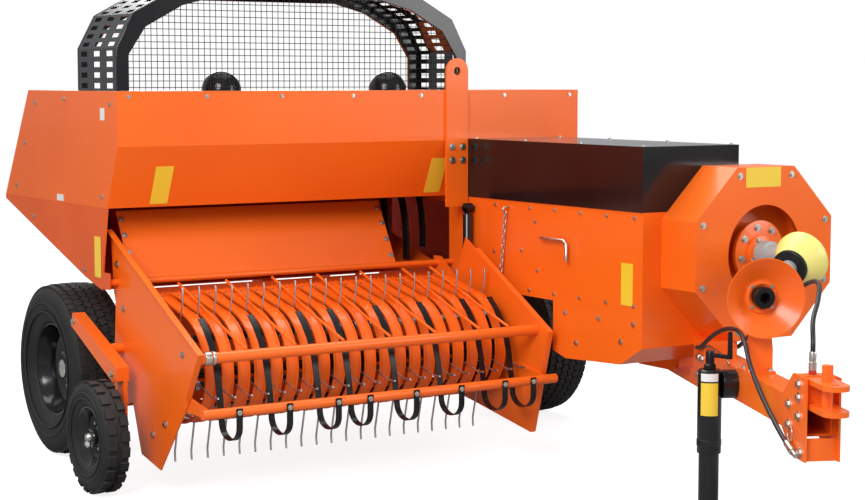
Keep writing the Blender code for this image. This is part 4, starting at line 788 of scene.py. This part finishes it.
def make_straps():
    """Lower front tube, its lugs and the hooked spring straps."""
    tube = bmesh.new()
    add_cylinder(tube, at(PLATE_RIGHT - 0.019, *STRAP_TUBE), at(PLATE_LEFT + 0.054, *STRAP_TUBE), 0.0198, 40)
    lug = [(-1.475, 0.377), (-1.27, 0.377), (-1.27, 0.445), (-1.475, 0.413)]
    for x in (PLATE_RIGHT + 0.0063, PLATE_LEFT - 0.0063):
        plane = Matrix.Translation(at(x, 0.0, 0.0)) @ Matrix(((0, 0, 1, 0), (1, 0, 0, 0), (0, 1, 0, 0),
                                                              (0, 0, 0, 1)))
        add_outline(tube, lug, plane, 0.006)
    make_piece("strap_tube", tube, ORANGE, "pickup", ("strap_bar",))
    front = STRAP_TUBE[0] - 0.0205
    hook = ellipse((front + 0.075, 0.338), 0.075, 0.058, 180, 352, 18)
    path = [(front, 0.412), (front, 0.380)] + hook + [(-1.332, 0.42), (-1.318, 0.49), (-1.296, 0.56),
                                                      (-1.262, 0.625),
                                                    (-1.215, 0.68), (-1.165, 0.722)]
    straps, spots = bmesh.new(), []
    half = 0.0130
    for index in (0, 3, 6, 8, 11, 14, 17, 19):
        x = band_x(index)
        add_sweep(straps, path, x, [(-half, 0.0), (-half, 0.0042), (half, 0.0042), (half, 0.0)])
        spots.append((at(x, front - 0.0043, 0.395), Vector((0.0, -1.0, 0.0))))
    make_piece("spring_straps", straps, BLACK_SATIN, "pickup")
    bolts("strap_bolts", spots, "pickup", 0.0075, 0.006, 0.0105)


def make_pickup_trim():
    """Folded lips of the side plates and the bolts of the arms."""
    lips = bmesh.new()
    for x, points, side in ((PLATE_RIGHT, [(-0.575, 1.04), (-1.45, 0.622), (-1.329, 0.429)], -1),
                            (PLATE_LEFT, [(-0.94, 0.913), (-1.50, 0.60), (-1.375, 0.151)], 1)):
        for start, end in zip(points, points[1:]):
            start, end = Vector(start), Vector(end)
            along = (end - start).normalized()
            inward = Vector((-along.y, along.x))
            corners = [at(x, *(start + inward * 0.001)), at(x, *(end + inward * 0.001))]
            middle = (corners[0] + corners[1]) / 2 + Vector((side * 0.013, 0.0, 0.0))
            length = (corners[1] - corners[0]).length
            turn = Matrix.Rotation(math.atan2(along.y, along.x), 4, "X")
            add_box(lips, middle, (0.022, length, 0.004), turn)
    make_piece("plate_lips", lips, ORANGE, "pickup", bevel=0.001)
    spots = [(at(-2.0135, -0.824, 0.473), Vector((-1.0, 0.0, 0.0))),
             (at(-2.0135, -0.42, 0.645), Vector((-1.0, 0.0, 0.0)))]
    for y, z in ((-0.70, 0.72), (-0.64, 0.90), (-1.27, 0.60), (-1.10, 0.30), (-0.98, 0.24)):
        spots.append((at(PLATE_RIGHT - 0.0034, y, z), Vector((-1.0, 0.0, 0.0))))
    for y, z in ((-0.75, 0.72), (-0.80, 0.45), (-1.10, 0.30), (-1.33, 0.62), (-1.28, 0.35)):
        spots.append((at(PLATE_LEFT + 0.0034, y, z), Vector((1.0, 0.0, 0.0))))
    bolts("plate_bolts", spots, "pickup", 0.010, 0.007, 0.015)


# ---- Driveline ---------------------------------------------------------------------------------
DRIVE = (0.207, 0.967)


def make_flywheel():
    place = along_axis(joint_at("flywheel_spin"), joint_axis("flywheel_spin"))
    wheel = bmesh.new()
    add_turned(wheel, [(0.0, 0.134), (0.118, 0.134), (0.130, 0.130), (0.130, 0.112), (0.092, 0.110),
                       (0.092, 0.060),
                       (0.245, 0.050), (0.250, 0.075), (0.297, 0.075), (0.300, 0.071), (0.300, 0.016),
                       (0.296, 0.012),
                       (0.10, 0.018), (0.07, 0.0), (0.0, 0.0)], place, 96)
    make_piece("flywheel_disc", wheel, ORANGE, "flywheel", ("flywheel",))
    hub = bmesh.new()
    add_turned(hub, [(0.0, 0.148), (0.066, 0.148), (0.072, 0.144), (0.072, 0.1345), (0.0, 0.1345)], place, 64)
    make_piece("clutch_flange", hub, ORANGE, "flywheel")
    stub = bmesh.new()
    add_turned(stub, [(0.0, 0.38), (0.030, 0.372), (0.042, 0.345), (0.042, 0.325), (0.037, 0.30),
                      (0.037, 0.20), (0.050, 0.195),
                      (0.050, 0.1485), (0.0, 0.1485)], place, 48)
    make_piece("rear_yoke", stub, GREY, "flywheel", ("drive_stub",))
    axis = joint_axis("flywheel_spin")
    origin = joint_at("flywheel_spin")
    bolts("flange_bolts", ring_spots(origin + axis * 0.1342, axis, 0.104, 8, 0.2), "flywheel", 0.011, 0.009,
          0.015)
    bolts("clutch_bolts", ring_spots(origin + axis * 0.1482, axis, 0.060, 4, 0.5), "flywheel", 0.0065, 0.006,
          0.0095)


def make_half_shaft():
    origin, axis = joint_at("half_shaft_spin"), joint_axis("half_shaft_spin")
    front = joint_at("input_shaft_spin") - joint_axis("input_shaft_spin") * 0.135
    length = (front - origin).length
    place = along_axis(origin, axis)
    tube = bmesh.new()
    add_turned(tube, [(0.0, length - 0.037), (0.034, length - 0.037), (0.0345, length - 0.040),
                      (0.0345, 0.048), (0.0, 0.048)],
               place, 48)
    make_piece("shaft_tube", tube, GREY, "half_shaft", ("half_shaft",))
    cone = bmesh.new()
    add_turned(cone, [(0.066, 0.106), (0.072, 0.100), (0.107, 0.030), (0.1095, 0.022), (0.1095, 0.007),
                      (0.106, 0.007),
                      (0.106, 0.022), (0.069, 0.098), (0.062, 0.104)], place, 64)
    make_piece("guard_cone", cone, YELLOW, "chassis", ("shaft_guard_cone",))
    ring = bmesh.new()
    add_turned(ring, [(0.0358, 0.1255), (0.068, 0.1255), (0.071, 0.1225), (0.071, 0.109), (0.068, 0.1063),
                      (0.0358, 0.1063)],
               place, 64)
    make_piece("guard_bearing_ring", ring, BLACK_SATIN, "chassis", ("shaft_guard_ring",))


def make_front_bearing():
    origin, axis = joint_at("input_shaft_spin"), joint_axis("input_shaft_spin")
    place = along_axis(origin, axis)
    funnel = bmesh.new()
    add_turned(funnel, [(0.150, 0.0), (0.1485, -0.0015), (0.100, -0.042), (0.074, -0.060), (0.066, -0.064),
                        (0.056, -0.064),
                        (0.056, -0.0895), (0.0287, -0.0895), (0.0287, -0.060), (0.064, -0.060),
                        (0.072, -0.056),
                        (0.098, -0.038), (0.146, 0.0)], place, 96)
    make_piece("funnel_shield", funnel, ORANGE, "chassis", ("shaft_funnel",))
    flange = bmesh.new()
    add_turned(flange, [(0.062, -0.0590), (0.062, -0.0545), (0.060, -0.053), (0.048, -0.053),
                        (0.046, -0.0590)], place, 64)
    make_piece("funnel_ring", flange, ORANGE, "chassis")
    bolts("funnel_bolts", ring_spots(origin + axis * -0.0528, axis, 0.054, 4, 0.78), "chassis", 0.005, 0.004,
          0.0068)
    shaft = bmesh.new()
    add_turned(shaft, [(0.020, -0.0145), (0.036, -0.0145), (0.0405, -0.019), (0.0405, -0.0585),
                       (0.028, -0.0585), (0.028, -0.102),
                       (0.020, -0.104), (0.034, -0.118), (0.036, -0.135), (0.034, -0.150), (0.0, -0.168),
                       (0.0, -0.079),
                       (0.020, -0.079)], place, 48)
    for index in range(6):
        spot = place @ Matrix.Rotation(math.pi * index / 3, 4, "Z") @ Vector((0.0195, 0.0, -0.047))
        turn = place.to_quaternion().to_matrix().to_4x4() @ Matrix.Rotation(math.pi * index / 3, 4, "Z")
        add_box(shaft, spot, (0.004, 0.008, 0.062), turn)
    make_piece("input_hub", shaft, BLACK_SATIN, "input_shaft", ("input_shaft",))


# ---- Guard over the feeder housing -------------------------------------------------------------
HOUSING_TOP, PANEL_FRONT = 1.615, -0.775
ARCH = ((0.845, 0.0), (0.845, 0.175), (0.77, 0.315), (0.605, 0.405), (0.45, 0.445))
ARCH_CENTRE, ARCH_DEPTH, ARCH_BAR = -1.105, 0.42, 0.055


def arch(inset):
    base = HOUSING_TOP + 0.0003
    half = [(across - inset, base + up - (inset if up > 0.3 else inset * 0.5 if up > 0.1 else 0.0))
            for across, up in ARCH]
    half[0] = (half[0][0], base)
    return [(ARCH_CENTRE + across, up) for across, up in half] + [(ARCH_CENTRE - across, up) for across,
                                                                  up in reversed(half)]


def add_arch_band(shape, inset, y_from, y_to):
    outer, inner = arch(0.0005), arch(inset)
    rings = []
    for y in (y_from, y_to):
        rings.append([[shape.verts.new(at(x, y, z)) for x, z in line] for line in (outer, inner)])
    (front_out, front_in), (back_out, back_in) = rings
    count = len(outer)
    for index in range(count - 1):
        after = index + 1
        shape.faces.new((front_out[index], front_out[after], front_in[after], front_in[index]))
        shape.faces.new((back_out[after], back_out[index], back_in[index], back_in[after]))
        shape.faces.new((front_out[after], front_out[index], back_out[index], back_out[after]))
        shape.faces.new((front_in[index], front_in[after], back_in[after], back_in[index]))
    for index in (0, count - 1):
        shape.faces.new((front_out[index], front_in[index], back_in[index], back_out[index]))


def add_slotted(shape, corners, rows, columns, border):
    """A sheet between four corners with rows and columns of open slots."""
    a, b, c, d = corners

    def spots(count):
        steps = [0.0]
        solid = border if count > 1 else 0.25
        cell = (1.0 - 2 * solid) / (2 * count - 1)
        place = solid
        for index in range(2 * count - 1):
            steps.append(place)
            place += cell
        return steps + [1.0 - solid, 1.0]

    across, down = spots(columns), spots(rows)
    grid = [[shape.verts.new((a.lerp(b, u)).lerp(d.lerp(c, u), v)) for u in across] for v in down]
    for row in range(len(down) - 1):
        for column in range(len(across) - 1):
            if row % 2 == 1 and column % 2 == 1:
                continue
            shape.faces.new((grid[row][column], grid[row][column + 1], grid[row + 1][column + 1],
                             grid[row + 1][column]))


def make_arch_guard():
    bars = bmesh.new()
    add_arch_band(bars, ARCH_BAR, PANEL_FRONT, PANEL_FRONT + 0.02)
    add_arch_band(bars, ARCH_BAR, PANEL_FRONT + ARCH_DEPTH - 0.02, PANEL_FRONT + ARCH_DEPTH)
    make_piece("guard_hoops", bars, BLACK, "chassis", ("arch_guard",), bevel=0.003)
    sheets = bmesh.new()
    line = arch(0.0025)
    front, rear = PANEL_FRONT + 0.02, PANEL_FRONT + ARCH_DEPTH - 0.02
    for (x0, z0), (x1, z1) in zip(line, line[1:]):
        length = math.hypot(x1 - x0, z1 - z0)
        corners = [at(x0, front, z0), at(x0, rear, z0), at(x1, rear, z1), at(x1, front, z1)]
        rows = max(2, round(length / 0.045)) if length < 0.6 else 14
        add_slotted(sheets, corners, rows, 3, 0.06)
    bmesh.ops.remove_doubles(sheets, verts=sheets.verts, dist=0.0002)
    mesh = bpy.data.meshes.new("guard_sheets")
    sheets.to_mesh(mesh)
    sheets.free()
    piece = bpy.data.objects.new("guard_sheets", mesh)
    bpy.context.scene.collection.objects.link(piece)
    mesh.materials.append(BLACK)
    wall = piece.modifiers.new("wall", "SOLIDIFY")
    wall.thickness = 0.003
    wall.offset = 0.0
    hand_over(piece, "chassis")


def make_guard_mesh():
    """Woven wires between the guard's front bars, cut to the arch."""
    edge = arch(ARCH_BAR - 0.006)
    y = PANEL_FRONT + 0.008
    paths = []

    def crossings(value, axis):
        found = []
        for (x0, z0), (x1, z1) in zip(edge, edge[1:] + edge[:1]):
            p, q = ((x0, z0), (x1, z1)) if axis == 0 else ((z0, x0), (z1, x1))
            if (p[0] - value) * (q[0] - value) < 0:
                found.append(p[1] + (q[1] - p[1]) * (value - p[0]) / (q[0] - p[0]))
        return sorted(found)

    pitch = 0.0265
    for index in range(-31, 32):
        x = ARCH_CENTRE + index * pitch
        found = crossings(x, 0)
        if len(found) == 2:
            paths.append([at(x, y, found[0]), at(x, y, found[1])])
    for index in range(1, 17):
        z = HOUSING_TOP + index * pitch - 0.012
        found = crossings(z, 1)
        if len(found) == 2:
            paths.append([at(found[0], y + 0.0028, z), at(found[1], y + 0.0028, z)])
    wires("guard_wires", paths, 0.0016, BLACK_SATIN, "chassis", ("guard_mesh",), sides=5)


def make_domes():
    for name, x in (("right_dome", -1.43), ("left_dome", -0.61)):
        place = Matrix.Translation(at(x, PANEL_FRONT + 0.11, HOUSING_TOP + 0.0004))
        shape = bmesh.new()
        profile = [(0.0845 * math.sin(math.radians(angle)),
                    0.084 * math.cos(math.radians(angle))) for angle in range(0, 91, 9)]
        add_turned(shape, profile + [(0.0, 0.0)], place, 48)
        make_piece(f"{name}_cap", shape, BLACK, "chassis", (name,))


# ---- Jack, hitch and hoses ---------------------------------------------------------------------
def make_jack():
    x, y = -0.155, 0.829
    tube, crank, leg = bmesh.new(), bmesh.new(), bmesh.new()
    base = Matrix.Translation(on_drawbar(x, y, 0.0))
    add_turned(tube, [(0.0, 0.5685), (0.040, 0.5685), (0.046, 0.562), (0.046, 0.250), (0.0445, 0.2465),
                      (0.0398, 0.2465),
                      (0.0398, 0.535), (0.0, 0.535)], base, 48)
    add_turned(tube, [(0.0475, 0.30), (0.0475, 0.275), (0.0445, 0.275), (0.0445, 0.30)], base, 48)
    add_cylinder(tube, on_drawbar(-0.0555, y, 0.51), on_drawbar(x + 0.042, y, 0.51), 0.055, 40)
    make_piece("jack_outer_tube", tube, BLACK, "chassis", ("jack_tube",), bevel=0.0015)
    add_turned(crank, [(0.0, 0.638), (0.015, 0.638), (0.017, 0.634), (0.017, 0.590), (0.023, 0.584),
                       (0.023, 0.5695), (0.0, 0.5695)],
               base, 32)
    add_cylinder(crank, on_drawbar(x - 0.01, y, 0.624), on_drawbar(x + 0.075, y + 0.02, 0.614), 0.0085, 20)
    add_cylinder(crank, on_drawbar(x + 0.072, y + 0.02, 0.608), on_drawbar(x + 0.072, y + 0.02, 0.712),
                 0.0102, 20, 0.0085)
    make_piece("jack_handle", crank, BLACK_SATIN, "chassis", ("jack_crank",), bevel=0.001)
    add_turned(leg, [(0.0, 0.3085), (0.0385, 0.3085), (0.0385, 0.020), (0.046, 0.014), (0.080, 0.011),
                     (0.085, 0.008),
                     (0.085, 0.0), (0.0, 0.0)], base, 48)
    make_piece("jack_inner_leg", leg, BLACK, "jack_leg", ("jack_leg",))
    return base


def add_curved_plate(shape, base, radius, low, high, middle, spread, sheet=0.0009, steps=10):
    rings = []
    for step in range(steps + 1):
        angle = middle - spread / 2 + spread * step / steps
        rings.append([shape.verts.new(base @ Vector((r * math.cos(angle), r * math.sin(angle), z)))
                      for r, z in ((radius, low), (radius + sheet, low), (radius + sheet, high),
                                   (radius, high))])
    for ring, after in zip(rings, rings[1:]):
        for corner in range(4):
            nearby = (corner + 1) % 4
            shape.faces.new((ring[corner], ring[nearby], after[nearby], after[corner]))
    shape.faces.new(rings[0])
    shape.faces.new(list(reversed(rings[-1])))


def smooth_route(knots, between=8):
    knots = [Vector(knot) for knot in knots]
    ends = [knots[0] * 2 - knots[1]] + knots + [knots[-1] * 2 - knots[-2]]
    points = []
    for a, b, c, d in zip(ends, ends[1:], ends[2:], ends[3:]):
        for step in range(between):
            t = step / between
            points.append(0.5 * (2 * b + (c - a) * t + (2 * a - 5 * b + 4 * c - d) * t ** 2
                                 + (3 * b - a - 3 * c + d) * t ** 3))
    return points + [knots[-1]]


def make_hoses():
    """Both hydraulic hoses along their fixed routes, with crimped ends."""
    side, cheek = 0.0766, 0.0776
    right = [(-side, 0.38, 0.585), (-side - 0.002, 0.45, 0.60), (-0.075, 0.60, 0.665), (-0.06, 0.72, 0.705),
             (-0.053, 0.85, 0.715),
             (-0.066, 0.97, 0.69), (-0.08, 1.09, 0.62), (-0.082, 1.22, 0.54), (-0.08, 1.36, 0.47),
             (-cheek, 1.46, 0.425),
             (-cheek, 1.52, 0.408)]
    left = [(side, 0.38, 0.585), (side + 0.004, 0.45, 0.60), (0.098, 0.60, 0.69), (0.13, 0.80, 0.82),
            (0.165, 0.95, 0.895),
            (0.165, 1.08, 0.925), (0.13, 1.22, 0.92), (0.075, 1.36, 0.885), (0.02, 1.47, 0.835),
            (0.0, 1.53, 0.77),
            (0.0, 1.53, 0.72)]
    for name, route, node in (("right_hose_line", right, "drawbar_hose"),
                              ("left_hose_line", left, "lift_hose")):
        knots = [on_drawbar(*point) for point in route]
        wires(name, [smooth_route(knots)], 0.0088, HOSE, "chassis", (node,), sides=16)
    fittings, cap = bmesh.new(), bmesh.new()
    start = on_drawbar(-cheek, 1.50, 0.4138)
    way = (on_drawbar(-cheek, 1.60, 0.385) - start).normalized()
    add_turned(fittings, [(0.0, 0.100), (0.009, 0.100), (0.010, 0.070), (0.0135, 0.068), (0.0135, 0.040),
                          (0.0105, 0.038),
                          (0.0125, 0.030), (0.0125, 0.002), (0.0, 0.0)], along_axis(start, way), 32)
    add_turned(fittings, [(0.0, 0.078), (0.0105, 0.078), (0.0125, 0.072), (0.0125, 0.046), (0.0105, 0.044),
                          (0.0138, 0.040),
                          (0.0138, 0.014), (0.010, 0.012), (0.010, 0.0), (0.0, 0.0)],
               Matrix.Translation(on_drawbar(0.0, 1.53, 0.6565)), 32)
    make_piece("hose_fittings", fittings, ZINC, "chassis")
    add_turned(cap, [(0.0142, 0.012), (0.0142, 0.002), (0.0, 0.002), (0.0, 0.012)],
               Matrix.Translation(on_drawbar(0.0, 1.53, 0.6555)), 32)
    make_piece("coupler_cap", cap, CAP_RED, "chassis")


def make_hitch_trim():
    """Bolts, spring clip and stop rod on the drawbar's head and root."""
    right = (on_drawbar(-1.0, 1.0, 0.0) - on_drawbar(0.0, 1.0, 0.0)).normalized()
    left = -right
    up = Vector((0.0, 0.0, 1.0))
    spots = []
    for facing, across in ((right, -0.0635), (left, 0.0635)):
        for along, height in ((1.575, 0.630), (1.575, 0.585), (1.575, 0.520), (1.475, 0.545), (1.475, 0.475),
                              (1.600, 0.400)):
            spots.append((on_drawbar(across, along, height), facing))
        for along, height in ((0.375, 0.475), (0.425, 0.475), (0.375, 0.545), (0.425, 0.545)):
            spots.append((on_drawbar(across * 1.0638, along, height), facing))
    bolts("hitch_bolts", spots, "chassis", 0.0125, 0.009, 0.018)
    rows = []
    for x, y in ((0.034, 0.880), (-0.034, 0.880), (0.040, 0.965), (-0.040, 0.965)):
        rows.append((on_drawbar(x, y, 0.5785), up))
    bolts("stand_bolts", rows, "chassis", 0.009, 0.007, 0.013)
    ring = [on_drawbar(-0.074, 1.52 + 0.026 * math.cos(a), 0.452 + 0.026 * math.sin(a))
            for a in [2 * math.pi * step / 20 for step in range(20)]]
    wires("spring_clip", [ring], 0.0022, GALVANISED, "chassis", sides=8, closed=True)
    rod = [on_drawbar(-0.066, 0.46, 0.596), on_drawbar(-0.068, 0.52, 0.610), on_drawbar(-0.064, 0.70, 0.600),
           on_drawbar(-0.0575, 0.76, 0.574)]
    wires("stop_rod", [rod], 0.005, ZINC, "chassis", sides=10)


def make_lift_cylinder():
    x, y = -0.285, -0.825
    barrel = bmesh.new()
    base = Matrix.Translation(at(x, y, 0.0))
    add_turned(barrel, [(0.0, 1.060), (0.018, 1.060), (0.021, 1.056), (0.021, 0.915), (0.0225, 0.913),
                        (0.0225, 0.900),
                        (0.0088, 0.900), (0.0088, 1.028), (0.0, 1.028)], base, 40)
    add_cylinder(barrel, at(x, y, 1.05), at(x, y, 1.085), 0.011, 24)
    add_cylinder(barrel, at(x + 0.02, y, 1.085), at(x - 0.015, y, 1.085), 0.022, 32)
    add_cylinder(barrel, at(-0.2503, y, 1.085), at(x - 0.024, y, 1.085), 0.010, 24)
    make_piece("cylinder_barrel", barrel, BLACK, "chassis", ("lift_cylinder",))
    stem = bmesh.new()
    add_cylinder(stem, at(x, y, 0.80), at(x, y, 0.965), 0.008, 32)
    add_cylinder(stem, at(x + 0.012, y, 0.80), at(-0.3167, y, 0.80), 0.016, 32)
    make_piece("cylinder_rod", stem, GALVANISED, "lift_rod", ("lift_rod",), bevel=0.001)


# ---- Plates, chamber trim and housing trim -----------------------------------------------------
def blank_plate(name, centre, width, height, normal, look, up=(0.0, 0.0, 1.0), sheet=0.0012):
    """A thin blank plate with slightly bevelled edges, flat on a panel."""
    normal, up = Vector(normal).normalized(), Vector(up)
    across = up.cross(normal).normalized()
    up = normal.cross(across)
    turn = Matrix((across, up, normal)).transposed().to_4x4()
    shape = bmesh.new()
    add_box(shape, Vector(centre) + normal * (sheet / 2 + 0.0003), (width, height, sheet), turn)
    make_piece(name, shape, look, "chassis", bevel=0.0004)


def make_plates(jack_base):
    slope = Vector((0.0, -0.257, -0.12)).normalized()
    tilt = Vector((0.0, -0.12, 0.257))
    blank_plate("intake_plate_right", at(-1.7245, -0.698, 1.225), 0.080, 0.175, slope, PLATE_YELLOW, tilt)
    blank_plate("intake_plate_left", at(-0.3765, -0.700, 1.230), 0.085, 0.175, slope, PLATE_YELLOW, tilt)
    blank_plate("trough_plate", at(-1.950, -0.547, 0.925), 0.065, 0.170, (-1, 0, 0), PLATE_YELLOW)
    blank_plate("guard_plate", at(0.193, -2.2463, 1.273), 0.185, 0.080, (0, -1, 0), PLATE_YELLOW)
    blank_plate("chamber_plate", at(-0.250, -1.937, 0.838), 0.075, 0.172, (-1, 0, 0), PLATE_YELLOW)
    blank_plate("pale_end_plate", at(-1.950, -0.135, 1.152), 0.075, 0.028, (-1, 0, 0), PLATE_WHITE)
    blank_plate("pale_upper_plate", at(-1.950, -0.62, 1.520), 0.045, 0.050, (-1, 0, 0), PLATE_WHITE)
    blank_plate("rear_lid_plate", at(0.30, 0.05, HOUSING_TOP), 0.12, 0.06, (0, 0, 1), PLATE_WHITE, (0, 1, 0))
    facing = math.atan2(-7.775 + 2.62, -4.90 + 0.28)
    for name, low, high, look in (("jack_plate", 0.395, 0.520, PLATE_YELLOW),
                                  ("jack_pale_plate", 0.526, 0.556, PLATE_WHITE)):
        shape = bmesh.new()
        add_curved_plate(shape, jack_base, 0.0462, low, high, facing, 1.5)
        make_piece(name, shape, look, "chassis")


def make_chamber_trim():
    right = Vector((-1.0, 0.0, 0.0))
    front = Vector((0.0, -1.0, 0.0))
    x = -0.2502
    small = [(at(x, y, z), right) for y in (-1.98, -1.80, -1.62, -1.44, -1.26, -1.00) for z in (0.752, 1.108)]
    small += [(at(x, y, 0.752), right) for y in (-0.80, -0.40, 0.10, 0.55, 1.00, 1.40)]
    small += [(at(x, y, z), right) for y,
              z in ((-1.20, 0.92), (-1.32, 0.84), (-1.30, 1.05), (-0.99, 0.90), (-0.70, 0.78))]
    small += [(at(0.2502, y, z), -right) for y in (-1.90, -1.50, -1.10, -0.70, -0.30, 0.20, 0.70,
                                                   1.15) for z in (0.760, 1.100)]
    bolts("chamber_bolts", small, "chassis", 0.006, 0.0045, 0.009)
    guard = []
    for across, rise in ((0.3625, 0.1375), (0.1525, 0.3475)):
        for side in (-1, 1):
            for level in (-1, 1):
                guard.append((at(DRIVE[0] + 0.90 * side * across, -2.2466, DRIVE[1] + 0.90 * level * rise),
                              front))
    bolts("guard_bolts", guard, "chassis", 0.009, 0.006, 0.014)
    ear = [(at(ex, -0.7875, ez), front) for ex in (-0.343, -0.287) for ez in (1.300, 1.360)]
    bolts("ear_bolts", ear, "chassis", 0.011, 0.008, 0.016)
    crank = [(at(x, y, z), right) for y,
             z in ((-1.98, 0.68), (-1.75, 0.68), (-1.52, 0.68), (-1.90, 0.60), (-1.60, 0.56))]
    bolts("crank_box_bolts", crank, "chassis", 0.008, 0.006, 0.012)
    pin = [at(-0.254, -1.372, 0.987), at(-0.270, -1.372, 0.987), at(-0.274, -1.40, 0.987),
           at(-0.274, -1.535, 0.987),
           at(-0.274, -1.556, 0.975), at(-0.274, -1.558, 0.900)]
    wires("latch_pin", [pin], 0.0075, ZINC, "chassis", sides=14)
    make_chain()


def make_chain():
    """Oval links hanging from a hook on the chamber's side."""
    top, foot = at(-0.268, -1.101, 1.085), at(-0.268, -1.066, 0.800)
    count = 13
    step = (foot - top) / count
    along = step.normalized()
    links = []
    for index in range(count):
        centre = top + step * (index + 0.5)
        side = Vector((1.0, 0.0, 0.0)) if index % 2 else Vector((0.0, 1.0, 0.0))
        side = (side - along * side.dot(along)).normalized()
        links.append([centre + along * (0.0148 * math.cos(a)) + side * (0.0078 * math.sin(a))
                      for a in [2 * math.pi * turn / 14 for turn in range(14)]])
    wires("safety_chain", links, 0.0024, ZINC, "chassis", sides=7, closed=True)
    hook = [at(-0.2508, -1.103, 1.102), at(-0.276, -1.103, 1.102), at(-0.284, -1.103, 1.094),
            at(-0.280, -1.103, 1.084),
            at(-0.268, -1.103, 1.080)]
    wires("chain_hook", [hook], 0.0045, ZINC, "chassis", sides=10)


def make_housing_trim():
    """Bolts of the feeder housing's panel, ends and apron, and its hood screws."""
    front = Vector((0.0, -1.0, 0.0))
    right = Vector((-1.0, 0.0, 0.0))
    up = Vector((0.0, 0.0, 1.0))
    spots = [(at(x, PANEL_FRONT - 0.0004, 1.592), front) for x in (-1.90, -1.55, -1.20, -0.85, -0.50, -0.05,
                                                                   0.32)]
    bolts("panel_bolts", spots, "chassis", 0.006, 0.004, 0.009)
    side = [(at(-1.9503, y, z), right) for y,
            z in ((-0.70, 1.56), (-0.20, 1.58), (0.15, 1.56), (-0.60, 1.18), (0.40, 1.18), (0.28, 1.38),
                                                  (-0.40, 0.86), (0.20, 1.05))]
    side += [(at(0.3703, y, z), -right) for y,
             z in ((-0.70, 1.56), (-0.20, 1.58), (0.15, 1.56), (-0.60, 1.18), (0.40, 1.18), (0.28, 1.38))]
    bolts("end_bolts", side, "chassis", 0.007, 0.005, 0.011)
    hood = [(at(x, y, 1.3963), up) for x in (-0.235, 0.232) for y in (-2.01, -1.60, -1.20, -0.82)]
    bolts("hood_bolts", hood, "chassis", 0.006, 0.004, 0.010)
    apron = []
    for share in (0.15, 0.40, 0.65, 0.88):
        y, z = -0.64 + 0.16 * share, 0.825 + 0.283 * share
        apron.append((at(-0.565, y - 0.0022, z + 0.0012), Vector((0.0, -0.87, 0.49))))
        apron.append((at(-1.825, y - 0.0022, z + 0.0012), Vector((0.0, -0.87, 0.49))))
    bolts("apron_bolts", apron, "chassis", 0.0075, 0.005, 0.012)


def make_rear_trim():
    """Springs, their nuts and the rear edge bolts of the bale tension frame."""
    springs = []
    for x in (-0.30, 0.30):
        coil = []
        for step in range(12 * 7 + 1):
            angle = 2 * math.pi * step / 12
            coil.append(at(x + 0.0295 * math.cos(angle), 1.28 + 0.0295 * math.sin(angle),
                           1.196 + 0.135 * step / 84))
        springs.append(coil)
    wires("tension_springs", springs, 0.004, GALVANISED, "chassis", sides=8)
    up = Vector((0.0, 0.0, 1.0))
    bolts("tension_nuts", [(at(x, 1.28, 1.3345), up) for x in (-0.30, 0.30)], "chassis", 0.019, 0.014, 0.031)
    back = Vector((0.0, 1.0, 0.0))
    spots = [(at(x, 1.5260, z), back) for x in (-0.246, 0.246) for z in (0.80, 0.93, 1.06)]
    bolts("rear_edge_bolts", spots, "chassis", 0.003, 0.003, 0.0038)


make_camera()
make_world()
make_lights()
make_floor()
dress_nodes()
make_wheels()
make_bands()
make_reel()
make_windguard()
make_straps()
make_pickup_trim()
make_flywheel()
make_half_shaft()
make_front_bearing()
make_arch_guard()
make_guard_mesh()
make_domes()
JACK_BASE = make_jack()
make_hoses()
make_hitch_trim()
make_lift_cylinder()
make_plates(JACK_BASE)
make_chamber_trim()
make_housing_trim()
make_rear_trim()

bpy.context.scene.view_settings.view_transform = "Standard"
